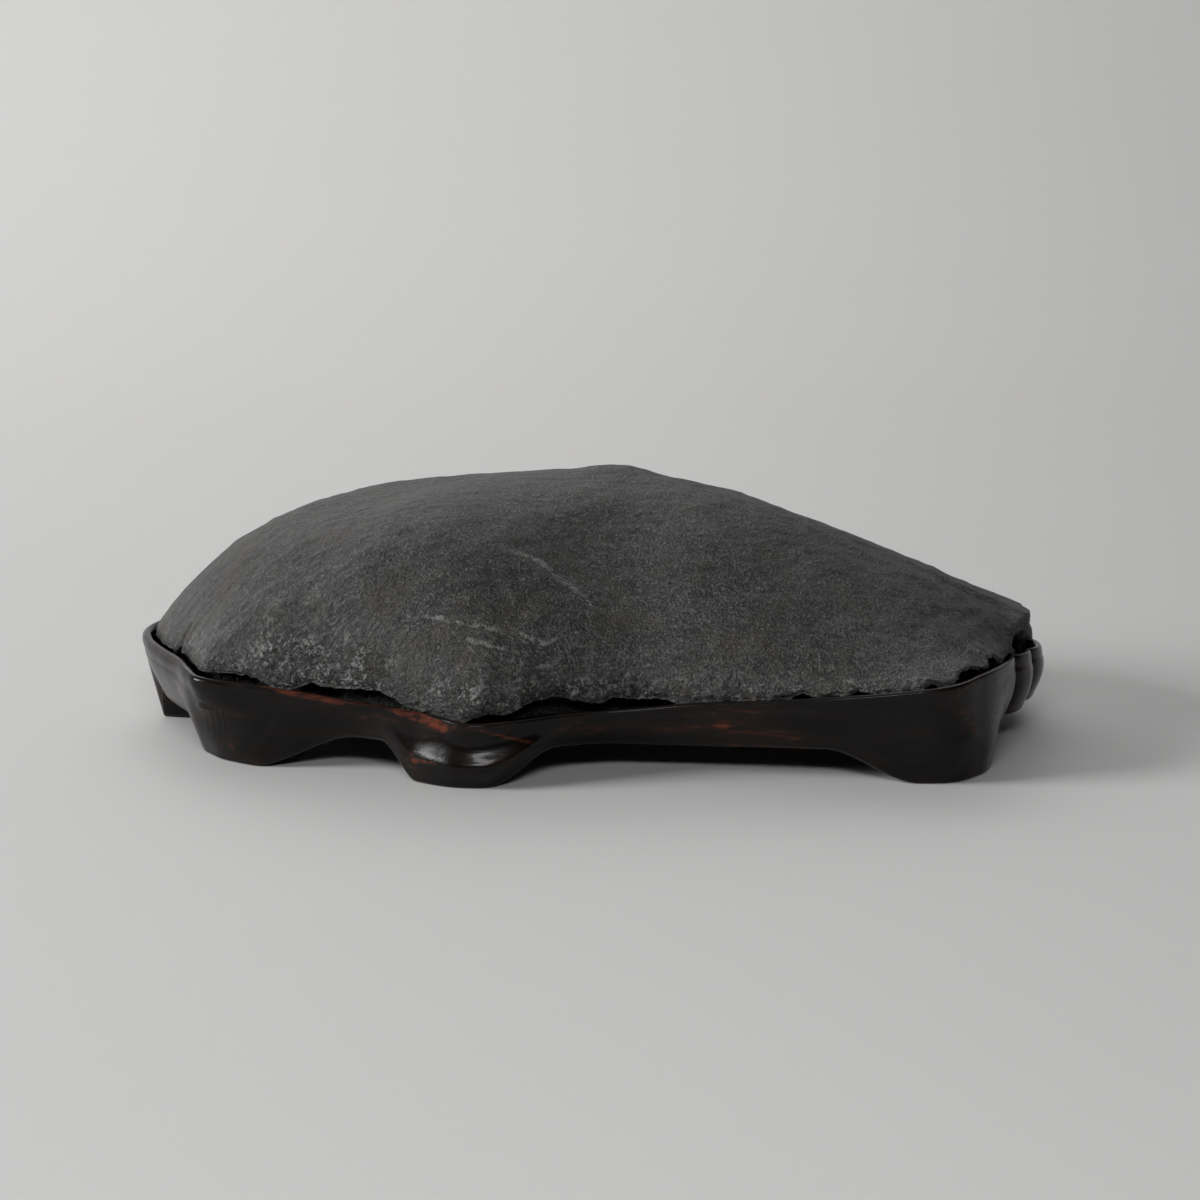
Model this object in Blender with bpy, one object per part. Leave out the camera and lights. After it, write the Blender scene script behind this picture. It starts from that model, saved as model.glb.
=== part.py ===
"""Scholar's rock: a low slate mound with a flat base, resting in the hardwood stand carved to fit it.

There are two pieces. The stone is one natural piece. The stand is carved from one plank: a shallow tray
whose rim follows the stone's edge, on feet that run out of its skirt.

+Z is up, X is the long way, and the front faces -Y. Tables are in millimetres and degrees, with azimuth
0 at +X turning towards +Y, round a point near the middle. The finished pieces are moved so that the
middle of the stand's footprint, on the plane of its soles, is the origin.
"""

import math

import bmesh
import bpy
import numpy as np

MM = 0.001
SEGMENTS = 144  # steps round both pieces, at the same azimuths, so that the gap between them stays even

# The rim's outer top edge: x, y and height, anticlockwise from the right end.
RIM_LINE = (
    (150.6, 13, 26.5),
    (146, 28, 26.5),
    (136, 44, 27),
    (118, 59, 27.5),
    (92, 72, 28),
    (58, 79.5, 28),
    (17, 82, 28),
    (-28, 81, 28),
    (-73, 75, 28.5),
    (-110, 62, 29),
    (-134, 44, 29.5),
    (-145.5, 26, 30),
    (-149.5, 8, 30.5),
    (-147, -5, 30.4),
    (-141, -20, 30.5),
    (-134.2, -34, 30.7),
    (-129.5, -46, 30.1),
    (-125.5, -52.5, 29.3),
    (-118, -55.6, 28.7),
    (-107, -57, 27.6),
    (-91.5, -59.5, 25.8),
    (-75.5, -64, 24.2),
    (-56, -71.5, 22.9),
    (-46.5, -76.5, 22.1),
    (-37, -81.3, 21.2),
    (-27.5, -79.5, 21.3),
    (-12, -73.5, 21.8),
    (4, -69, 22.2),
    (19.5, -68, 23.3),
    (35, -69, 24.8),
    (66, -74.5, 27.4),
    (82, -77, 29),
    (97.5, -78.5, 30.6),
    (113, -77, 32.2),
    (125, -65.5, 33.2),
    (134, -48.5, 32.5),
    (139.8, -32, 30.8),
    (147, -14, 28.8),
    (150.6, -1, 27.3),
)
# The wall's lower edge: azimuth, height between the feet, and how far it is drawn in from the rim.
HEM = (
    (0, 10, 2),
    (20, 10, 3.5),
    (60, 10, 4.6),
    (120, 10, 4.6),
    (160, 10, 5.5),
    (178, 10, 6),
    (-169, 10, 6.5),
    (-160, 10, 6.4),
    (-156, 10.5, 4.6),
    (-152, 10.8, 2.4),
    (-147, 11, 3.2),
    (-140, 11.1, 3),
    (-131, 11.1, 1),
    (-124, 11, -0.6),
    (-116, 10.6, 0),
    (-108, 10.5, 1.5),
    (-94, 10.4, 4),
    (-62, 9.8, 3.6),
    (-42, 10.3, 4.4),
    (-35.6, 10.3, 3.6),
    (-31, 10.3, 1.6),
    (-26.5, 10.3, 1.2),
    (-21.5, 10.3, 3.4),
    (-17, 10, 4.4),
    (-11, 9.8, 2.6),
)
# The rim: azimuth, thickness, and drop of its rounded shoulders.
RIM = (
    (0, 2.2, 0.8),
    (120, 2.2, 0.8),
    (150, 2.4, 1.0),
    (175, 3.2, 2.0),
    (195, 3.6, 2.4),
    (203, 3.0, 1.6),
    (210, 2.2, 0.8),
    (240, 2.2, 0.8),
)
# Upright creases that part the right end of the wall into convex lobes: azimuth and depth.
CREASES = ((-12.4, 2.8), (-4.8, 2.8), (5.2, 2.6), (13.4, 2.0))
CREASE_REACH = 3.6 * MM
INNER_FOLD = 0.55  # share of the creases' depth that shows inside the wall
LOBE_BULGE = 1.5 * MM
LOBE_SPREAD = (-3, 18)  # azimuth of the middle of the lobes, and where they have faded to each side

# Stand
RECESS_FLOOR = 17.3 * MM
RECESS_CORNER = 1.6 * MM  # size of the round between the wall and the recess floor
RECESS_FLAT = 5 * MM  # the floor is flat from this far inside the wall
BELLY = 12.6 * MM  # height of the underside between the feet
BELLY_RUN = 4 * MM  # run of the slope from the skirt's lower edge up to the belly
SPINE = 0.7  # the wall draws in towards a line along the middle, this share of the way out to each point
FLARE = 1.5  # power by which the wall's draw-in grows on the way down
HEM_ROUND = 0.8 * MM  # the skirt's lower edge turns under by this much
BEAD = 2.5 * MM  # width of the skirt's lower edge
SOLE_DEPTH = 15 * MM  # a sole's width from front to back
# A leg's profile as level down the wall, spread and share of the knee: hollow below the rim, then full.
LEG_PROFILE = ((0.3, 0.2, 0.3), (0.7, 0.25, -1.0))
# Feet: azimuth of the sole's middle, half the sole's length, and the run of the leg's sweep up to the
# skirt on the clockwise and the anticlockwise side.
FEET = (
    (-30.4, 17, 30, 18),
    (36, 15, 18, 18),
    (104, 16, 18, 18),
    (170.5, 14, 18, 5),
    (-156.0, 13.5, 16, 34),
    (-119.2, 12.2, 14, 24),
)
# Knees: azimuth of the middle, how far along the rim they reach to each side, and how far they swell.
KNEES = (
    (-30.4, 36, 1.8),
    (36, 30, 1.6),
    (104, 30, 1.6),
    (170.5, 26, -0.4),
    (-155, 30, 0.8),
    (-115.2, 31, 4.0),
)
# The rim's front corners are sharp at the top and soft below it: azimuth, spread, and the turn over which
# the wall's line is levelled out there.
CORNERS = ((-157, 11, 7), (-115, 9, 6))
CORNER_RAMP = 0.6  # level down the wall by which a corner is fully eased

# Stone
SEAT_GAP = 0.6 * MM  # between the stone's edge and the inside of the rim
REST_GAP = 0.3 * MM  # under the stone
SUMMIT = (12, 8, 82.3)
# The dome's broken edge: azimuth, height of its lower lip above the rim, thickness of the broken face
# over the lip, and how far the lip is set back. Where the lip is well above the rim, a dark gap shows.
EDGE = (
    (0, 1.6, 11.4, -2.0),
    (8, 1.6, 10.6, -1.8),
    (16, 1.0, 8.0, 0),
    (28, 0.6, 5, 0.5),
    (45, 0, 3, 0),
    (60, 1.6, 2.4, 1.4),
    (75, -0.6, 2, 0),
    (110, -0.6, 1.8, 0),
    (120, 1.4, 1.6, 1.4),
    (133, -0.6, 1.6, 0),
    (150, 1.0, 1.6, 1),
    (165, -0.7, 1.4, 0.3),
    (182, -0.8, 1.4, 0.2),
    (189, -0.6, 1.4, 0.2),
    (190.5, 1.2, 1.4, 1.2),
    (192, -0.2, 1.4, 0.2),
    (198, -0.2, 1.4, 0.2),
    (201.5, 0.2, 1.2, 0.4),
    (203, 0.9, 1.2, 0.8),
    (205, 2.0, 1.2, 1.0),
    (207, 1.5, 1.2, 0.8),
    (208.4, 0.2, 1.4, 0.4),
    (209.4, -0.9, 1.6, 0),
    (211, -0.9, 1.6, 0),
    (212.4, 1.0, 1.4, 0.6),
    (213.4, 2.2, 1.2, 1.2),
    (217, 2.3, 1.4, 1.2),
    (219.6, 2.9, 1.4, 1.4),
    (222.5, 3.5, 1.4, 1.6),
    (224.5, 3.7, 1.4, 1.6),
    (226, 2.6, 1.4, 1.2),
    (228, 2.0, 1.4, 1.0),
    (229.5, 0.7, 1.6, 0.6),
    (232, 0.2, 1.6, 0.4),
    (234.5, -0.4, 1.8, 0.2),
    (238.5, -1.2, 1.8, 0),
    (243.5, -1.2, 2, 0),
    (245.5, 0.6, 1.6, 0.4),
    (247.5, 1.4, 1.4, 0.8),
    (251, 1.2, 1.4, 0.6),
    (253.5, 1.7, 1.4, 0.8),
    (255.2, 3.0, 1.2, 1.4),
    (257, 4.3, 1.2, 1.8),
    (261, 4.5, 1.4, 2),
    (264, 4.2, 1.4, 2),
    (266, 3.1, 1.4, 1.6),
    (270, 2.0, 1.4, 1),
    (273, 1.3, 1.4, 0.8),
    (276, 2.5, 1.2, 1),
    (279, 2.7, 1.2, 1.2),
    (281, 2.1, 1.2, 1),
    (284.5, 1.5, 1.2, 0.8),
    (288, 1.4, 1.4, 0.8),
    (291, 0.6, 1.6, 0.6),
    (293, -1.2, 1.8, 0),
    (305, -1.4, 1.8, 0),
    (311, -1.2, 1.8, 0),
    (312.5, 0.9, 1.4, 0.8),
    (314.5, -1.2, 1.8, 0),
    (317, -1, 1.8, 0),
    (318, 0.8, 1.4, 1.0),
    (320, -1.4, 1.8, 0),
    (323.5, -1.2, 1.8, 0),
    (324.5, 0.4, 1.6, 0.6),
    (326, -0.8, 1.8, 0),
    (327.5, -0.6, 1.6, 0),
    (328.7, 1.6, 1.4, 1.4),
    (331.5, 1.6, 1.6, 1.2),
    (333.5, 0.2, 2.6, 0.4),
    (335.8, -0.8, 3.2, 0),
    (337, 2.3, 2.8, 1.4),
    (340, 1.6, 4.2, 1),
    (341.5, -1.2, 5.6, 0),
    (344, -1.2, 7.0, 0),
    (348, -0.8, 8.6, 0),
    (351, 0, 9.6, 0),
    (352.5, 4.8, 6.0, 0.8),
    (356.5, 5.6, 6.6, 0.2),
    (358.5, 2.0, 10.8, -1.8),
)
EDGE_CHIPS = (0.4, 7)  # height and size of the small chips along the edge
# Share of the broken face's height that is worn round, where the dome bends down to it: azimuth, share.
SHOULDER = (
    (-34, 0),
    (-26, 0.6),
    (-14, 0.8),
    (-7, 0.7),
    (-2, 0.2),
    (10, 0.15),
    (24, 0),
    (165, 0),
    (180, 1),
    (195, 1),
    (210, 0),
)
SHOULDER_RUN = 0.075  # the worn shoulder's width, as a share of the way in to the summit
UNDERCUT = 8 * MM  # depth from the edge in to the root of the lip
LIP_SLOPE = 0.3 * MM  # rise of the lip's underside from its edge to its root
BASE_CORNER = 2 * MM  # drop of the chamfer round the flat base
FACE_LEAN = 0.14  # how far the broken face leans in, as a share of its height
# The dome's section from summit to edge is (1 - reach ** roundness) ** steepness.
SECTION = (
    (0, 1.55, 0.96),
    (45, 1.7, 0.9),
    (90, 2.1, 0.7),
    (135, 2.8, 0.62),
    (180, 4.9, 0.8),
    (225, 2.6, 0.63),
    (270, 1.9, 0.8),
    (315, 1.6, 0.94),
)
# Swells and hollows of the dome: x, y, length, width, heading in degrees and height.
SWELLS = (
    (9, 18, 13, 12, 0, 2.5),  # knob on the summit
    (-44, -46, 40, 15, 112, 2.8),  # spur running down to the front corner
    (4, -40, 34, 15, 140, -3.4),  # valley to the right of the spur
    (-92, -40, 15, 11, 20, -2.4),  # scooped hollow low on the left
    (-70, -46, 12, 8, 60, 1.6),
    (80, -28, 45, 20, -10, 1.2),
    (-74, 5, 30, 34, 0, -4.4),
    (-124, 4, 12, 30, 0, 1.8),
    (120, 6, 20, 40, 0, 2.4),
)

RELIEF = ((1.3, 38), (0.45, 13))  # height and size of the dome's random unevenness
ROUNDING = np.radians(np.arange(-16, 17, 4))  # the rim's corners are rounded over these turns above the edge
SOFTENING = np.radians(np.arange(-32, 33, 8))  # the dome's outline is the edge's mean over these turns
EDGE_FADE = 6  # power by which the rim's own line comes in towards the edge
BITE_FADE = 14  # power by which the edge's bites come in
RELIEF_FADE = 6  # power by which the relief goes out towards the edge

# Mesh
CROWDING = (-2, 14, 2.0)  # steps are closer at the lobes: azimuth, spread and extra share
REAR_THINNING = 0.35  # steps are wider along the plain rear by this share
TANGENT_SPAN = math.radians(2)  # half the turn over which the rim's direction is measured
RIM_SAMPLES = 3601  # samples for lengths along the rim
SHARP_EDGE = math.radians(40)
STONE_REACHES = (0.13, 0.27, 0.41, 0.54, 0.66, 0.76, 0.84, 0.9, 0.94, 0.97, 0.988, 1.0)
WALL_LEVELS = (0.18, 0.34, 0.48, 0.6, 0.72, 0.86)


# ---------------------------------------------------------------- curves round the piece


def around(keys):
    """A smooth closed curve of value against azimuth, through (degrees, value) keys: cubic spans with
    the slope at each key taken from its neighbours."""
    keys = sorted((angle % 360, value) for angle, value in keys)
    angles, values = np.array(keys).T
    angles = np.concatenate([angles[-2:] - 360, angles, angles[:2] + 360])
    values = np.concatenate([values[-2:], values, values[:2]])
    slopes = np.gradient(values, angles)

    def at(azimuth):
        angle = np.degrees(azimuth) % 360
        i = np.clip(np.searchsorted(angles, angle, side="right") - 1, 1, len(angles) - 3)
        span = angles[i + 1] - angles[i]
        t = (angle - angles[i]) / span
        return (
            values[i] * (1 + 2 * t) * (1 - t) ** 2
            + values[i + 1] * t**2 * (3 - 2 * t)
            + span * slopes[i] * t * (1 - t) ** 2
            - span * slopes[i + 1] * t**2 * (1 - t)
        )

    return at


def broken(keys):
    """A closed curve of value against azimuth, in straight lines from key to key."""
    angles, values = np.array(keys).T
    return lambda azimuth: np.interp(np.degrees(azimuth), angles, values, period=360)


def smooth(t):
    t = np.clip(t, 0, 1)
    return t * t * (3 - 2 * t)


def turned(x, y):
    return math.degrees(math.atan2(y, x))


rim_radius = around([(turned(x, y), math.hypot(x, y) * MM) for x, y, _ in RIM_LINE])
rim_height = around([(turned(x, y), z * MM) for x, y, z in RIM_LINE])
rim_wall = around([(a, thick * MM) for a, thick, _ in RIM])
rim_round = around([(a, drop * MM) for a, _, drop in RIM])
hem_height = around([(a, height * MM) for a, height, _ in HEM])
hem_inset = around([(a, inward * MM) for a, _, inward in HEM])
lip_rise = broken([(a, rise * MM) for a, rise, _, _ in EDGE])
lip_thickness = broken([(a, thick * MM) for a, _, thick, _ in EDGE])
lip_bite = broken([(a, back * MM) for a, _, _, back in EDGE])
shoulder = broken(SHOULDER)
roundness = around([(a, power) for a, power, _ in SECTION])
steepness = around([(a, power) for a, _, power in SECTION])


def away(azimuth, degrees):
    """The signed angle from a direction given in degrees, in degrees from -180 to 180."""
    return (np.degrees(azimuth) - degrees + 180) % 360 - 180


def rim(azimuth):
    radius = rim_radius(azimuth)
    return np.stack([radius * np.cos(azimuth), radius * np.sin(azimuth)], axis=1)


def inward(azimuth):
    """The step towards the spine that moves one unit square to the rim."""
    along = rim(azimuth + TANGENT_SPAN) - rim(azimuth - TANGENT_SPAN)
    square = np.stack([-along[:, 1], along[:, 0]], axis=1) / np.linalg.norm(along, axis=1)[:, None]
    step = rim(azimuth) * (SPINE - 1, -1)
    return step / np.sum(step * square, axis=1)[:, None]


def crease(azimuth):
    """Depth of the wall's upright creases, each falling away from a sharp line."""
    total = np.zeros_like(azimuth)
    for degrees, depth in CREASES:
        distance = np.abs(np.radians(away(azimuth, degrees))) * rim_radius(azimuth)
        total = np.maximum(total, depth * MM * np.exp(-distance / CREASE_REACH))
    return total


def lobed(azimuth):
    """1 among the lobes of the right end, fading to 0 over the outer half of their reach."""
    middle, reach = LOBE_SPREAD
    return smooth(2 - 2 * np.abs(away(azimuth, middle)) / reach)


def ring(azimuth, distance, height):
    """Points a distance inside the rim's outer edge, at a height; either may change along the way."""
    distance = np.broadcast_to(distance, azimuth.shape)[:, None]
    height = np.broadcast_to(height, azimuth.shape)[:, None]
    return np.hstack([rim(azimuth) + inward(azimuth) * distance, height])


def shrunk(outer, share, middle=(0, 0)):
    """A ring moved towards the middle, at its own height."""
    inner = outer.copy()
    inner[:, :2] = np.array(middle) + (outer[:, :2] - middle) * share
    return inner


def spread_azimuths(count):
    """Azimuths at equal steps along the rim, with shorter steps at the lobes of the right end."""
    middle, spread, extra = CROWDING
    fine = np.linspace(0, 2 * math.pi, RIM_SAMPLES)
    crowding = extra * np.exp(-((away(fine, middle) / spread) ** 2))
    weight = 1 + crowding - REAR_THINNING * smooth(2 * np.sin(fine))
    lengths = np.linalg.norm(np.diff(rim(fine), axis=0), axis=1) * (weight[1:] + weight[:-1]) / 2
    walked = np.concatenate([[0], np.cumsum(lengths)])
    return np.interp(np.arange(count) / count * walked[-1], walked, fine)


# ---------------------------------------------------------------- stand


def feet(azimuth):
    """Share of a leg at each azimuth, 1 over a sole and 0 along the skirt, and the swell of its knee."""
    fine = np.linspace(-math.pi, math.pi, RIM_SAMPLES)
    walked = np.concatenate([[0], np.cumsum(np.linalg.norm(np.diff(rim(fine), axis=0), axis=1))])
    here = np.interp((azimuth + math.pi) % (2 * math.pi) - math.pi, fine, walked)

    def apart(degrees):
        middle = np.interp(math.radians((degrees + 180) % 360 - 180), fine, walked)
        return (here - middle + walked[-1] / 2) % walked[-1] - walked[-1] / 2

    share = np.zeros_like(azimuth)
    for degrees, half, run_clockwise, run_onward in FEET:
        distance = apart(degrees)
        run = np.where(distance < 0, run_clockwise, run_onward) * MM
        share = np.maximum(share, smooth(1 - (np.abs(distance) - half * MM) / run))
    knee = np.zeros_like(azimuth)
    for degrees, reach, swelling in KNEES:
        knee += swelling * MM * smooth(1 - np.abs(apart(degrees)) / (reach * MM))
    return share, knee


def wall_inset(azimuth, level, knee):
    """How far the outside of the wall draws in, from level 0 at the rim to 1 at its lower edge. A leg
    hollows under the rim and swells at the knee; the lobes bulge halfway down."""
    leg = sum(share * math.exp(-(((level - at) / spread) ** 2)) for at, spread, share in LEG_PROFILE)
    bulge = LOBE_BULGE * math.sin(math.pi * level) * lobed(azimuth)
    return hem_inset(azimuth) * level**FLARE + knee * leg - bulge + crease(azimuth)


def eased(points, azimuth, level):
    """Points of a ring of the wall, moved on the corners by the way from the rim's line to its mean over
    the neighbouring azimuths, more and more from the rim down."""
    for middle, spread, turn in CORNERS:
        share = np.exp(-((away(azimuth, middle) / spread) ** 4)) * smooth(level / CORNER_RAMP)
        turns = np.radians(np.linspace(-turn, turn, 9))
        levelled = np.mean([rim(azimuth + step) for step in turns], axis=0)
        points[:, :2] += (levelled - rim(azimuth)) * share[:, None]
    return points


def stand_rings(azimuth):
    """Rings from the middle of the recess, over the rim and down the wall, to the middle of the belly."""
    top = rim_height(azimuth)
    foot, knee = feet(azimuth)
    bottom = hem_height(azimuth) * (1 - foot)
    inside = rim_wall(azimuth) + crease(azimuth) * INNER_FOLD
    drop = rim_round(azimuth)
    seat = ring(azimuth, inside + RECESS_FLAT, RECESS_FLOOR)
    rings = [
        shrunk(seat, 0),
        shrunk(seat, 0.5),
        seat,
        ring(azimuth, inside + RECESS_CORNER, RECESS_FLOOR + RECESS_CORNER),
        ring(azimuth, inside, top - drop / 2),
        ring(azimuth, (inside + crease(azimuth)) / 2, top),
        ring(azimuth, crease(azimuth), top - drop),
    ]
    for level in WALL_LEVELS:
        wall = ring(azimuth, wall_inset(azimuth, level, knee), top - drop + (bottom - top + drop) * level)
        rings.append(eased(wall, azimuth, level))
    lower = wall_inset(azimuth, 1.0, knee) + HEM_ROUND
    width = BEAD + (SOLE_DEPTH - BEAD) * foot
    belly = eased(ring(azimuth, lower + width + BELLY_RUN, BELLY), azimuth, 1)
    rings += [
        eased(ring(azimuth, lower, bottom), azimuth, 1),
        eased(ring(azimuth, lower + width, bottom), azimuth, 1),
        belly,
        shrunk(belly, 0.5),
        shrunk(belly, 0),
    ]
    return rings


# ---------------------------------------------------------------- stone

LATTICE = np.random.default_rng(11).uniform(-1, 1, (32, 32, 32))


def noise(points, height, size):
    """Smooth random heights up to a height each way, with swells about a size across."""
    scaled = points / (size * MM)
    cell = np.floor(scaled).astype(int)
    part = smooth(scaled - cell)
    total = np.zeros(len(points))
    for corner in np.ndindex(2, 2, 2):
        weight = np.prod(np.where(corner, part, 1 - part), axis=1)
        total += weight * LATTICE[tuple(((cell + corner) % len(LATTICE)).T)]
    return total * height * MM


def swell(x, y):
    """Height of the dome's large swells and hollows at a point of the plan."""
    total = np.zeros_like(x)
    for cx, cy, length, width, heading, height in SWELLS:
        turn = math.radians(heading)
        along = (x - cx * MM) * math.cos(turn) + (y - cy * MM) * math.sin(turn)
        across = (y - cy * MM) * math.cos(turn) - (x - cx * MM) * math.sin(turn)
        total += height * MM * np.exp(-((along / (length * MM)) ** 2) - (across / (width * MM)) ** 2)
    return total


def softened(curve, azimuth):
    """The mean of a curve over the neighbouring azimuths."""
    return np.mean([curve(azimuth + turn) for turn in SOFTENING], axis=0)


def stone_rings(azimuth):
    """Rings from the summit, down the dome to its broken edge, then under it to the middle of the base."""
    lip = rim_height(azimuth) + lip_rise(azimuth) + noise(ring(azimuth, 0, 0), *EDGE_CHIPS)
    seat = rim_wall(azimuth) + SEAT_GAP + INNER_FOLD * CREASES[0][1] * MM * lobed(azimuth)
    back = seat + lip_bite(azimuth)
    thick = lip_thickness(azimuth)
    line = np.mean([ring(azimuth + turn, seat, rim_height(azimuth) + thick) for turn in ROUNDING], axis=0)
    edge = ring(azimuth, back + FACE_LEAN * thick, lip + thick)
    reach_out = softened(rim_radius, azimuth) - seat
    level = softened(rim_height, azimuth) + softened(lip_thickness, azimuth)
    soft = np.stack([reach_out * np.cos(azimuth), reach_out * np.sin(azimuth), level], axis=1)
    summit = np.array(SUMMIT) * MM
    rings = [np.tile(summit, (len(azimuth), 1))]
    rings[0][:, 2] += swell(*summit[:2, None])
    for reach in STONE_REACHES:
        outline = soft + (line - soft) * reach**EDGE_FADE + (edge - line) * reach**BITE_FADE
        dome = shrunk(outline, reach, summit[:2])
        share = (1 - reach ** roundness(azimuth)) ** steepness(azimuth)
        dome[:, 2] += (summit[2] - dome[:, 2]) * share
        relief = swell(dome[:, 0], dome[:, 1]) + sum(noise(dome, *layer) for layer in RELIEF)
        dome[:, 2] += relief * (1 - reach**RELIEF_FADE)
        worn = max(1 - (1 - reach) / SHOULDER_RUN, 0) ** 2
        dome[:, 2] -= worn * thick * shoulder(azimuth)
        rings.append(dome)
    root = seat + UNDERCUT
    base = ring(azimuth, root + 2 * BASE_CORNER, RECESS_FLOOR + REST_GAP)
    rings += [
        ring(azimuth, back, lip),
        ring(azimuth, root, lip + LIP_SLOPE),
        ring(azimuth, root, RECESS_FLOOR + REST_GAP + BASE_CORNER),
        base,
        shrunk(base, 0.5),
        shrunk(base, 0),
    ]
    return rings


# ---------------------------------------------------------------- building


def clear_scene():
    for obj in list(bpy.data.objects):
        bpy.data.objects.remove(obj, do_unlink=True)


def material(name, colour, roughness):
    made = bpy.data.materials.new(name)
    made.use_nodes = True
    shader = made.node_tree.nodes["Principled BSDF"]
    shader.inputs["Base Color"].default_value = (*colour, 1)
    shader.inputs["Roughness"].default_value = roughness
    shader.inputs["Metallic"].default_value = 0
    return made


def skinned(name, rings, finish, collection):
    """A UV sphere whose vertices are moved onto the rings from pole to pole, which makes one closed
    surface. The first and last rings are single points."""
    segments, bands = len(rings[0]), len(rings) - 1
    shell = bmesh.new()
    bmesh.ops.create_uvsphere(shell, u_segments=segments, v_segments=bands, radius=1)
    for vertex in shell.verts:
        band = round(math.acos(max(-1.0, min(1.0, vertex.co.z))) / math.pi * bands)
        step = round(math.atan2(vertex.co.y, vertex.co.x) / (2 * math.pi) * segments) % segments
        vertex.co = rings[band][step]
    mesh = bpy.data.meshes.new(name)
    shell.to_mesh(mesh)
    shell.free()
    mesh.shade_smooth()
    mesh.set_sharp_from_angle(angle=SHARP_EDGE)
    mesh.materials.append(finish)
    obj = bpy.data.objects.new(name, mesh)
    collection.objects.link(obj)


def main():
    clear_scene()
    collection = bpy.data.collections.new("scholars_rock")
    bpy.context.scene.collection.children.link(collection)
    azimuth = spread_azimuths(SEGMENTS)
    stone = np.array(stone_rings(azimuth))
    stand = np.array(stand_rings(azimuth))
    middle = (stand.min(axis=(0, 1)) + stand.max(axis=(0, 1))) / 2
    middle[2] = 0
    slate = material("slate", (0.030, 0.029, 0.028), 0.55)
    rosewood = material("rosewood", (0.022, 0.010, 0.008), 0.25)
    skinned("stone", stone - middle, slate, collection)
    skinned("stand", stand - middle, rosewood, collection)


main()
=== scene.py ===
"""Scholar's rock: the looks of a slate mound and of the hardwood stand that was carved to fit it.

Both pieces are surfaces worked out from two parameters. One runs round the piece, as an azimuth at even
steps along the stand's rim. The other runs from the summit, or from the middle of the recess, outwards
and down to the middle of the underside. +Z is up, X is the long way and the front faces -Y. Tables are in
millimetres and degrees, with azimuth 0 at +X turning towards +Y.
"""

import math

import bpy
import numpy as np
from bpy.props import FloatProperty, FloatVectorProperty, PointerProperty
from bpy.types import Operator, Panel, PropertyGroup
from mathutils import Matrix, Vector


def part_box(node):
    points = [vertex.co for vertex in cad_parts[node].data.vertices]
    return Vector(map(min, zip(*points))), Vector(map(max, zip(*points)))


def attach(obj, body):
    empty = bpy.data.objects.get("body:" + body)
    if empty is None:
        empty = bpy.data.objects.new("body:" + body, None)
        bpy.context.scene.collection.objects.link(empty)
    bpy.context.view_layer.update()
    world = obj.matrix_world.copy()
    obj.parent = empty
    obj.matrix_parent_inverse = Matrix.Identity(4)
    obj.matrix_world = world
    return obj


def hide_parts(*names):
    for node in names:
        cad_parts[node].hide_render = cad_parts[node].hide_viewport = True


bl_info = {
    "name": "Scholar's Rock",
    "version": (1, 0, 0),
    "blender": (4, 5, 0),
    "location": "View3D > Sidebar > Rock",
    "description": "A slate mound, the carved stand that it rests in, and a pale floor with soft light",
    "category": "Add Mesh",
}

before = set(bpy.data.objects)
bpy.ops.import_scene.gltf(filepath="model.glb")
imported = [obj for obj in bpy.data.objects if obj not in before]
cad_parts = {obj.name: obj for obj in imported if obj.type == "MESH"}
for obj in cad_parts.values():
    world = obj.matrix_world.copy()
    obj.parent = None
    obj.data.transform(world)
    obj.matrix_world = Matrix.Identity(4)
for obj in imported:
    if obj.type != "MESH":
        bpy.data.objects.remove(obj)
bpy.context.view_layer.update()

MM = 0.001
MIDDLE = np.array([1.17, -0.77, 0]) * MM  # where the middle of the stand's footprint lies in these tables

# ---------------------------------------------------------------- sizes shared by both pieces

# The rim's outer top edge: x, y and height, anticlockwise from the right end.
RIM_LINE = (
    (150.6, 13, 26.5), (146, 28, 26.5), (136, 44, 27), (118, 59, 27.5), (92, 72, 28), (58, 79.5, 28),
    (17, 82, 28), (-28, 81, 28), (-73, 75, 28.5), (-110, 62, 29), (-134, 44, 29.5), (-145.5, 26, 30),
    (-149.5, 8, 30.5), (-147, -5, 30.4), (-141, -20, 30.5), (-134.2, -34, 30.7), (-129.5, -46, 30.1),
    (-125.5, -52.5, 29.3), (-118, -55.6, 28.7), (-107, -57, 27.6), (-91.5, -59.5, 25.8), (-75.5, -64, 24.2),
    (-56, -71.5, 22.9), (-46.5, -76.5, 22.1), (-37, -81.3, 21.2), (-27.5, -79.5, 21.3), (-12, -73.5, 21.8),
    (4, -69, 22.2), (19.5, -68, 23.3), (35, -69, 24.8), (66, -74.5, 27.4), (82, -77, 29),
    (97.5, -78.5, 30.6), (113, -77, 32.2), (125, -65.5, 33.2), (134, -48.5, 32.5), (139.8, -32, 30.8),
    (147, -14, 28.8), (150.6, -1, 27.3),
)
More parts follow.
